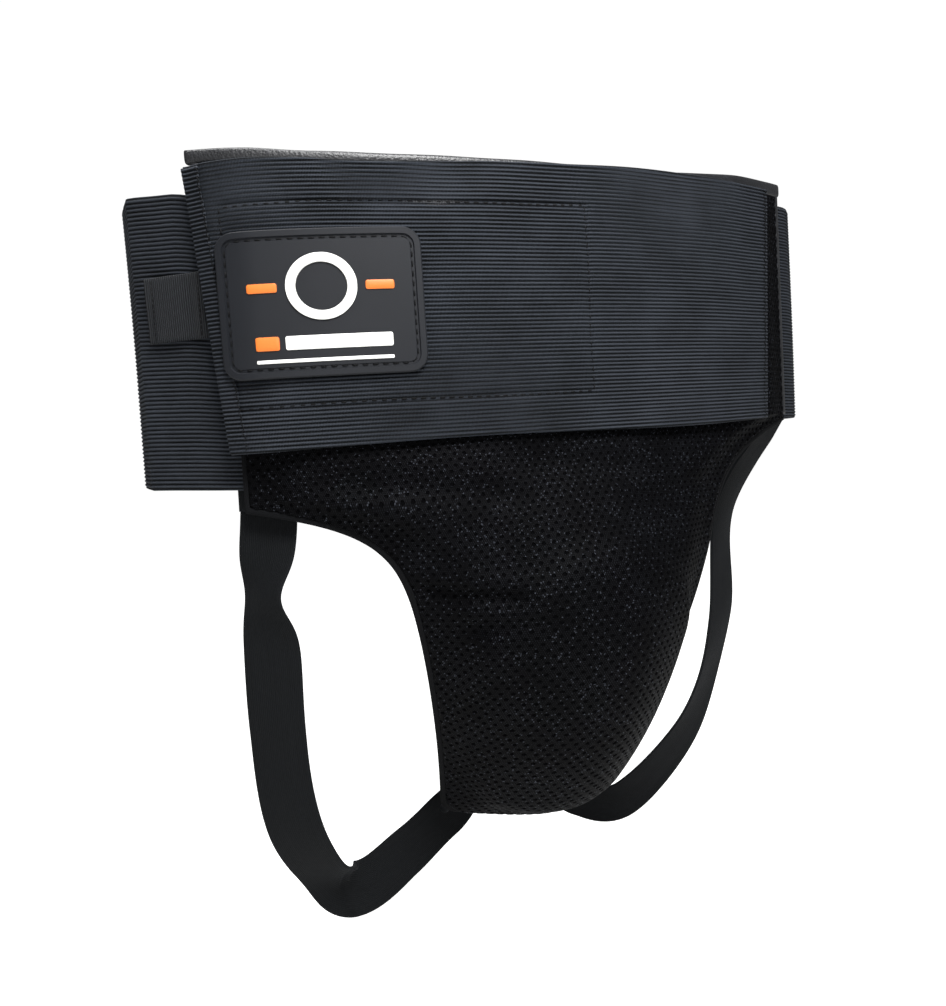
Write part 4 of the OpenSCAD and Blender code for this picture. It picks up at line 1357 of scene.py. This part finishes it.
# ---------------------------------------------------------------- badge and tab
@dataclass
class Badge:
    """Moulded rubber badge with a raised rim, a sewn groove and a plain ornament."""

    panel: Panel
    wear: Wardrobe
    stitch: Stitch
    middle: float = -119.5
    length: float = 85
    height: float = 64
    corner: float = 8
    under: float = 0.5
    thick: float = 2.5
    rim: float = 3.4

    def plate(self, name: str, size: tuple[float, float], centre: tuple[float, float], low: float,
              high: float, corner: float, finish: Finish, rim: float = 0.0,
              cut: float = 1.6) -> bpy.types.Object:
        """A flat plate with round corners, modelled flat and then laid on the flap.

        Args:
            name: name of the piece.
            size: length and height.
            centre: middle, as length along the belt and height.
            low: back face over the flap.
            high: front face over the flap.
            corner: corner radius.
            finish: its finish.
            rim: width of a raised rim, with a sewn groove inside it.
            cut: longest run before the plate is cut, so that it follows the belt.

        Returns:
            The piece.
        """
        obj = operated(lambda: bpy.ops.mesh.primitive_cube_add(size=1.0))
        obj.name = name
        bpy.ops.object.mode_set(mode="EDIT")
        bpy.ops.mesh.select_all(action="SELECT")
        bpy.ops.transform.resize(value=(size[0], size[1], high - low))
        bpy.ops.transform.translate(value=(0, 0, (high + low) / 2))
        pick_edges(obj, lambda a, b: abs(a.z - b.z) > 0.1 and abs(a.x - b.x) + abs(a.y - b.y) < 0.01)
        bpy.ops.mesh.bevel(offset=corner, segments=8, affect="EDGES")
        pick_faces(obj, lambda c, n: n.z > 0.9)
        if rim:
            bpy.ops.mesh.inset(thickness=0.5, depth=0.45)
            bpy.ops.mesh.inset(thickness=rim - 1.0, depth=0.0)
            bpy.ops.mesh.inset(thickness=0.35, depth=-0.85)
            bpy.ops.mesh.inset(thickness=1.2, depth=0.0)
            bpy.ops.mesh.inset(thickness=0.3, depth=0.35)
        else:
            bpy.ops.mesh.inset(thickness=min(0.22, corner * 0.5), depth=0.12)
        bpy.ops.object.mode_set(mode="OBJECT")
        for axis, extent in ((0, size[0]), (1, size[1])):
            for place_ in np.arange(-extent / 2 + cut, extent / 2, cut if axis == 0 else 6.0):
                bpy.ops.object.mode_set(mode="EDIT")
                bpy.ops.mesh.select_all(action="SELECT")
                spot, way = [0, 0, 0], [0, 0, 0]
                spot[axis], way[axis] = float(place_), 1
                bpy.ops.mesh.bisect(plane_co=spot, plane_no=way)
                bpy.ops.object.mode_set(mode="OBJECT")
        return self.lay(obj, centre, finish)

    def lay(self, obj: bpy.types.Object, centre: tuple[float, float], finish: Finish) -> bpy.types.Object:
        """Takes a flat piece in mm to its place on the flap.

        Args:
            obj: flat piece, its face towards +z.
            centre: length along the belt and height of its origin.
            finish: its finish.

        Returns:
            The piece, in place.
        """
        mesh = obj.data
        co = np.array([tuple(v.co) for v in mesh.vertices])
        points = self.panel.on_flap(co[:, 0] + centre[0], co[:, 1] + centre[1], co[:, 2]) * MM
        mesh.vertices.foreach_set("co", points.ravel())
        mesh.materials.clear()
        mesh.materials.append(self.wear.get(finish))
        bpy.ops.object.select_all(action="DESELECT")
        obj.select_set(True)
        bpy.context.view_layer.objects.active = obj
        bpy.ops.object.shade_smooth_by_angle(angle=math.radians(32))
        mesh.update()
        return obj

    def ring(self) -> bpy.types.Object:
        """The ring of the ornament, a short turned band.

        Returns:
            The piece.
        """
        obj = operated(lambda: bpy.ops.mesh.primitive_cylinder_add(
            vertices=64, radius=14.5, depth=0.8, end_fill_type="NGON", location=(0, 0, 0)))
        obj.name = "badge_ring_raised"
        bpy.ops.object.mode_set(mode="EDIT")
        bpy.ops.mesh.select_all(action="SELECT")
        bpy.ops.transform.translate(value=(0, 0, self.under + self.thick + 0.25))
        pick_faces(obj, lambda c, n: n.z > 0.9)
        bpy.ops.mesh.inset(thickness=0.25, depth=0.1)
        bpy.ops.mesh.inset(thickness=3.6, depth=0.0)
        bpy.ops.mesh.inset(thickness=0.2, depth=-0.55)
        bpy.ops.mesh.delete(type="FACE")
        bpy.ops.object.mode_set(mode="OBJECT")
        return self.lay(obj, (self.middle, 7.0), Finish.badge_pale)

    def join(self, name: str, parts: Sequence[bpy.types.Object], finish: Finish, node: str) -> None:
        """Joins laid parts of one finish to one piece on the flap."""
        bpy.ops.object.select_all(action="DESELECT")
        for part in parts:
            part.select_set(True)
        bpy.context.view_layer.objects.active = parts[0]
        bpy.ops.object.join()
        obj = bpy.context.object
        obj.name = obj.data.name = name
        obj.data.materials.clear()
        obj.data.materials.append(self.wear.get(finish))
        place(obj, "flap", finish, node)

    def stitches(self) -> bpy.types.Object:
        """The dashed seam in the groove of the badge.

        Returns:
            The piece.
        """
        m = self.rim + 0.75
        w, h, r = self.length / 2 - m, self.height / 2 - m, self.corner - 3.2
        line = []
        for cx, cz, a0 in ((w - r, h - r, 90), (w - r, r - h, 0), (r - w, r - h, -90), (r - w, h - r, -180)):
            for a in np.radians(np.linspace(a0, a0 - 90, 7)):
                line.append((cx + r * math.cos(a), cz + r * math.sin(a)))
        line = np.array(line + line[:1])
        step = np.linalg.norm(np.diff(line, axis=0), axis=1)
        run = np.concatenate([[0], np.cumsum(step)])
        n = round(run[-1] / 4.3)
        q = (np.arange(n) + 0.5) / n * run[-1]
        at = lambda v: np.stack([np.interp(v % run[-1], run, line[:, i]) for i in (0, 1)], -1)
        a, b = at(q - 0.6), at(q + 0.6)
        h0 = self.under + self.thick - 0.15
        pa = self.panel.on_flap(a[:, 0] + self.middle, a[:, 1], h0)
        pb = self.panel.on_flap(b[:, 0] + self.middle, b[:, 1], h0)
        mid = (pa + pb) / 2
        out = self.panel.on_flap(a[:, 0] + self.middle, a[:, 1], h0 + 1) - pa
        obj = self.stitch.row("badge_stitches", mid, pb - pa, out, 2.9, 0.75, self.wear.get(Finish.thread))
        return place(obj, "flap", Finish.thread, "badge_stitching")

    def build(self) -> None:
        """Builds and dresses the badge."""
        base = self.plate("badge_body", (self.length, self.height), (self.middle, 0), self.under,
                          self.under + self.thick, self.corner, Finish.badge_rubber, self.rim)
        place(base, "flap", Finish.badge_rubber, "badge_base", "badge_rim")
        top = self.under + self.thick - 0.1
        bar = lambda name, a, b, z0, z1, finish: self.plate(
            name, (b - a, z1 - z0), (self.middle + (a + b) / 2, (z0 + z1) / 2), top - 0.3, top + 0.42,
            min(0.9, (z1 - z0) * 0.3), finish)
        pale = [self.ring(),
                bar("pale_long", -16, 28, -20, -14, Finish.badge_pale),
                bar("pale_line", -28, 28, -25.5, -24, Finish.badge_pale)]
        self.join("badge_pale_marks", pale, Finish.badge_pale, "badge_ring")
        warm = [bar("warm_left", -30, -18, 5, 9, Finish.badge_orange),
                bar("warm_right", 18, 30, 5, 9, Finish.badge_orange),
                bar("warm_short", -28, -18.5, -20, -14, Finish.badge_orange)]
        self.join("badge_warm_marks", warm, Finish.badge_orange, "badge_bars")
        self.stitches()


@dataclass
class PullTab:
    """The grosgrain tab that sticks out past the left end of the flap."""

    panel: Panel
    wear: Wardrobe
    stitch: Stitch
    middle: float = 4
    height: float = 30
    length: float = 33
    start: float = 172.05
    thick: float = 1.5

    def inner(self, s: Array) -> Array:
        """Inner face of the tab."""
        return 0.5 + 2.6 * smooth((self.start + 8 - np.abs(s)) / 8)

    def build(self) -> None:
        """Builds and dresses the tab: a doubled ribbon with a rounded fold and two sewn rows."""
        belt = self.panel.belt
        tip = -self.start - self.length
        s = spans(tip, -self.start + 1.5, 0.28, 0.8)
        z = spans(self.middle - self.height / 2, self.middle + self.height / 2, 1.6, 0.6)
        s, z = np.meshgrid(s, z)
        rib = 0.12 * np.cos(2 * math.pi * s / 1.12)
        bow = 0.35 * np.sin((z - self.middle) / 9) + 0.5 * np.exp(-((s - tip) / 2.2) ** 2)
        obj = slab("pull_ribbon", s, z, lambda a, b, h: belt.at(a, b, self.inner(a) + h + bow),
                   0.0, self.thick, self.wear.get(Finish.grosgrain), rib, rib)
        place(obj, "tab", Finish.grosgrain, "pull_tab")
        rows = []
        for place_ in (tip + 4.7, -self.start - 2.5):
            zz = np.arange(self.middle - 12.5, self.middle + 12.6, 2.5)
            rows.append(np.stack([np.full(len(zz), place_), zz], -1))
        r = np.concatenate(rows)
        h = self.inner(r[:, 0]) + self.thick + 0.35
        mid = belt.at(r[:, 0], r[:, 1], h)
        out = belt.at(r[:, 0], r[:, 1], h + 1) - mid
        sewn = self.stitch.row("tab_stitches", mid, np.tile([0.0, 0, 1], (len(r), 1)), out, 2.0, 0.5,
                               self.wear.get(Finish.thread))
        place(sewn, "tab", Finish.thread, "pull_tab_stitching")


# ---------------------------------------------------------------- leg straps
@dataclass
class LegStrap:
    """One leg strap: ribbon webbing from the hip corner round to the crotch."""

    panel: Panel
    wear: Wardrobe
    side: int
    loop_drop: float
    swing: tuple[float, ...]
    turn: float
    rise: float
    crease: float
    quick: float
    width: float = 27
    thick: float = 1.6
    fall: tuple[float, ...] = (0.2, 0.5, 0.8, 1, 1)
    hip_inset: float = 8.0
    lead: float = 7.0
    twist: float = 0.0
    twist_at: float = 0.17
    twist_spread: float = 0.05
    twist_shift: float = -5.0

    def path(self) -> Array:
        """Points that the strap's middle line goes through."""
        p, side = self.panel, self.side
        wing = p.wing[0 if side < 0 else 1]
        hip = side * (p.half_length - self.hip_inset)
        a = p.at(np.array(hip), np.array(wing + self.lead), np.array(-6.0))
        b = p.at(np.array(side * (p.sewn_middle(side) + 5.0)), np.array(p.drop + self.lead), np.array(-13.5))
        mids = []
        for k in range(5):
            xy = mix(a[:2], b[:2], self.swing[k])
            mids.append([*xy, mix(a[2], -self.loop_drop, self.fall[k]) + (self.rise if k == 4 else 0)])
        return np.array([a, *mids, b])

    @staticmethod
    def through(p: Array, t: Array) -> Array:
        """A smooth line through points, t from 0 to 1."""
        n = len(p) - 1
        q = np.clip(t, 0, 0.99999) * n
        i = np.floor(q).astype(int)
        f = (q - i)[:, None]
        a, b, c, d = (p[np.clip(i + k, 0, n)] for k in (-1, 0, 1, 2))
        return 0.5 * (2 * b + (c - a) * f + (2 * a - 5 * b + 4 * c - d) * f ** 2
                      + (3 * b - 3 * c + d - a) * f ** 3)

    def build(self) -> bpy.types.Object:
        """Builds and dresses the strap.

        Returns:
            The piece.
        """
        path, side = self.path(), self.side
        t = np.linspace(0, 1, 240)
        c = self.through(path, t)
        ahead, behind = np.minimum(1, t + 0.01), np.maximum(0, t - 0.01)
        f = unit(self.through(path, ahead) - self.through(path, behind))
        hip = side * (self.panel.half_length - self.hip_inset)
        belt = self.panel.belt
        wa = unit(belt.at(np.array(hip + 5), 0.0, 0.0) - belt.at(np.array(hip - 5), 0.0, 0.0))
        wb = unit(np.array([0.3 * side, 0.2, -side]))
        w = unit(mix(wa[None], wb[None], smooth((t - self.turn) / self.quick)[:, None]))
        lead = np.linspace(14, 1, 9)[:, None]
        bend = np.radians(np.linspace(6, 62, 11))[:, None]
        tail = unit(np.cos(bend) * f[-1:] + np.sin(bend) * np.array([[0.0, -0.2, 1.0]]))
        c = np.concatenate([c[:1] - lead * f[:1], c, c[-1:] + np.cumsum(tail * 1.7, 0)])
        f = np.concatenate([np.repeat(f[:1], 9, 0), f, tail])
        w = np.concatenate([np.repeat(w[:1], 9, 0), w, np.repeat(w[-1:], 11, 0)])
        w = unit(w - (w * f).sum(-1, keepdims=True) * f)
        n = np.cross(w, f)
        along = np.linspace(0, 1, len(c))
        twist = (self.twist * np.exp(-((along - self.twist_at) / self.twist_spread) ** 2))[:, None]
        w, n = np.cos(twist) * w - np.sin(twist) * n, np.sin(twist) * w + np.cos(twist) * n
        c = c + np.array([[self.twist_shift, 0.0, 0.0]]) * twist
        run = np.concatenate([[0], np.cumsum(np.linalg.norm(np.diff(c, axis=0), axis=1))])
        x = spans(-self.width / 2, self.width / 2, 1.0, 0.7)
        u, v = np.meshgrid(x, run)
        ends = smooth((v - 12) / 30) * smooth((run[-1] - v - 12) / 30)
        sway = 1.1 * np.sin(v / 21 + 1.2 * side) * ends
        fold = (v - self.crease * run[-1] + u * 0.9)
        ridge = 2.6 * np.exp(-np.abs(fold) / 7) * ends
        cup = 0.9 * np.sin(v / 47) * (u / (self.width / 2)) ** 2 * ends + 0.5 * np.sin(v / 13 + u / 9) * ends
        ribs = 0.07 * np.cos(2 * math.pi * u / 0.9 / 2)

        def at(uu: Array, vv: Array, h: Array) -> Array:
            """A point of the strap."""
            row = np.arange(len(run))[:, None] + 0 * u.astype(int)
            lift = (h + ridge + cup)[..., None]
            return c[row] + (uu + sway)[..., None] * w[row] + lift * n[row]

        name = "left" if side < 0 else "right"
        obj = slab(f"leg_ribbon_{name}", u, v, at, -self.thick / 2, self.thick / 2,
                   self.wear.get(Finish.webbing), ribs, ribs)
        work = bmesh.new()
        work.from_mesh(obj.data)
        bmesh.ops.recalc_face_normals(work, faces=work.faces)
        work.to_mesh(obj.data)
        work.free()
        place(obj, f"strap_{name}", Finish.webbing, f"leg_strap_{name}")
        LOG.info("strap %s is %.0f mm long", name, run[-1])
        return obj


# ---------------------------------------------------------------- studio
@dataclass(frozen=True)
class Studio:
    """Plain pale floor, soft lights and the camera, in metres."""

    floor_z: float = -0.318
    turn: float = -24.4
    distance: float = 0.52758
    height: float = -0.05835
    pitch: float = -4.21
    roll: float = 3.51
    ambient: float = 0.17

    def camera(self) -> None:
        """Sets the camera."""
        az, pt, ro = (math.radians(v) for v in (self.turn, self.pitch, self.roll))
        flat = Vector((-math.sin(az), math.cos(az), 0))
        right = Vector((math.cos(az), math.sin(az), 0))
        ahead = flat * math.cos(pt) + Vector((0, 0, math.sin(pt)))
        up = Vector((0, 0, math.cos(pt))) - flat * math.sin(pt)
        x = right * math.cos(ro) - up * math.sin(ro)
        y = right * math.sin(ro) + up * math.cos(ro)
        data = bpy.data.cameras.new("camera")
        data.lens, data.sensor_width = 32.0, 36.0
        data.shift_x, data.shift_y = -0.0340, -0.0120
        data.clip_start, data.clip_end = 0.01, 50
        cam = bpy.data.objects.new("camera", data)
        place_ = Vector((math.sin(az) * self.distance, -math.cos(az) * self.distance, self.height))
        cam.matrix_world = Matrix.Translation(place_) @ Matrix((x, y, -ahead)).transposed().to_4x4()
        bpy.context.scene.collection.objects.link(cam)
        bpy.context.scene.camera = cam

    def light(self, name: str, spot: tuple, aim: tuple, size: tuple, power: float) -> None:
        """Adds one soft light.

        Args:
            name: its name.
            spot: where it stands.
            aim: what it points at.
            size: width and height.
            power: watts.
        """
        data = bpy.data.lights.new(name, "AREA")
        data.shape, data.size, data.size_y, data.energy = "RECTANGLE", size[0], size[1], power
        obj = bpy.data.objects.new(name, data)
        obj.location = spot
        obj.rotation_euler = (Vector(aim) - Vector(spot)).to_track_quat("-Z", "Y").to_euler()
        bpy.context.scene.collection.objects.link(obj)

    def floor(self) -> None:
        """Adds the pale floor."""
        n = 48
        ring = [(math.cos(a) * 9, math.sin(a) * 9) for a in np.linspace(0, 2 * math.pi, n, endpoint=False)]
        mesh = bpy.data.meshes.new("studio_floor")
        mesh.from_pydata([(x, y, self.floor_z) for x, y in ring], [], [list(range(n))])
        sh = Shader("floor_white", Specular_IOR_Level=0.0, Emission_Strength=0.85)
        seen = sh.node("ShaderNodeLightPath", {}, {}).outputs["Is Camera Ray"]
        sh.tree.links.new(sh.blend((0.1, 0.1, 0.1, 1), (1, 1, 1, 1), Val(sh.tree, seen)),
                          sh.surface.inputs["Emission Color"])
        mesh.materials.append(sh.done(sh.blend(srgb("#f4f4f2"), srgb("#fdfdfc"), sh.noise(
            sh.place(), 3)), 0.8))
        obj = bpy.data.objects.new("studio_floor", mesh)
        bpy.context.scene.collection.objects.link(obj)

    def build(self) -> None:
        """Sets the world, lights, floor and camera."""
        world = bpy.data.worlds.new("studio")
        world.use_nodes = True
        tree = world.node_tree
        seen = Val(tree, tree.nodes.new("ShaderNodeLightPath").outputs["Is Camera Ray"])
        strength = seen * (1.02 - self.ambient) + self.ambient
        tree.nodes["Background"].inputs[0].default_value = (1, 1, 1, 1)
        tree.links.new(strength.socket, tree.nodes["Background"].inputs[1])
        bpy.context.scene.world = world
        scene = bpy.context.scene
        scene.view_settings.view_transform = "Standard"
        self.light("key", (-0.06, -0.56, 0.5), (0, 0, 0.02), (0.34, 0.3), 11)
        self.light("fill", (-0.5, -0.9, -0.1), (0, 0, -0.1), (0.7, 0.9), 2)
        self.light("top", (-0.3, -0.05, 0.9), (-0.05, 0, 0), (0.5, 0.4), 8)
        self.floor()
        self.camera()


def main() -> None:
    """Builds the object in order and reports each piece."""
    logging.basicConfig(level=logging.INFO, format="%(message)s")
    Studio().build()
    wear = Wardrobe()
    stitch = Stitch()
    panel = Panel(Belt())
    FrontPanel(panel, wear, stitch).build()
    Bands(panel, wear, stitch).build()
    Badge(panel, wear, stitch).build()
    PullTab(panel, wear, stitch).build()
    LegStrap(panel, wear, side=-1, loop_drop=291, swing=(-0.04, -0.03, 0.03, 0.29, 0.66),
             turn=0.56, rise=2, crease=0.66, quick=0.14, twist=0.62).build()
    LegStrap(panel, wear, side=1, loop_drop=292, swing=(0.19, 0.24, 0.4, 0.71, 0.92),
             turn=0.36, rise=1, crease=2.0, quick=0.3).build()


if __name__ == "__main__":
    main()
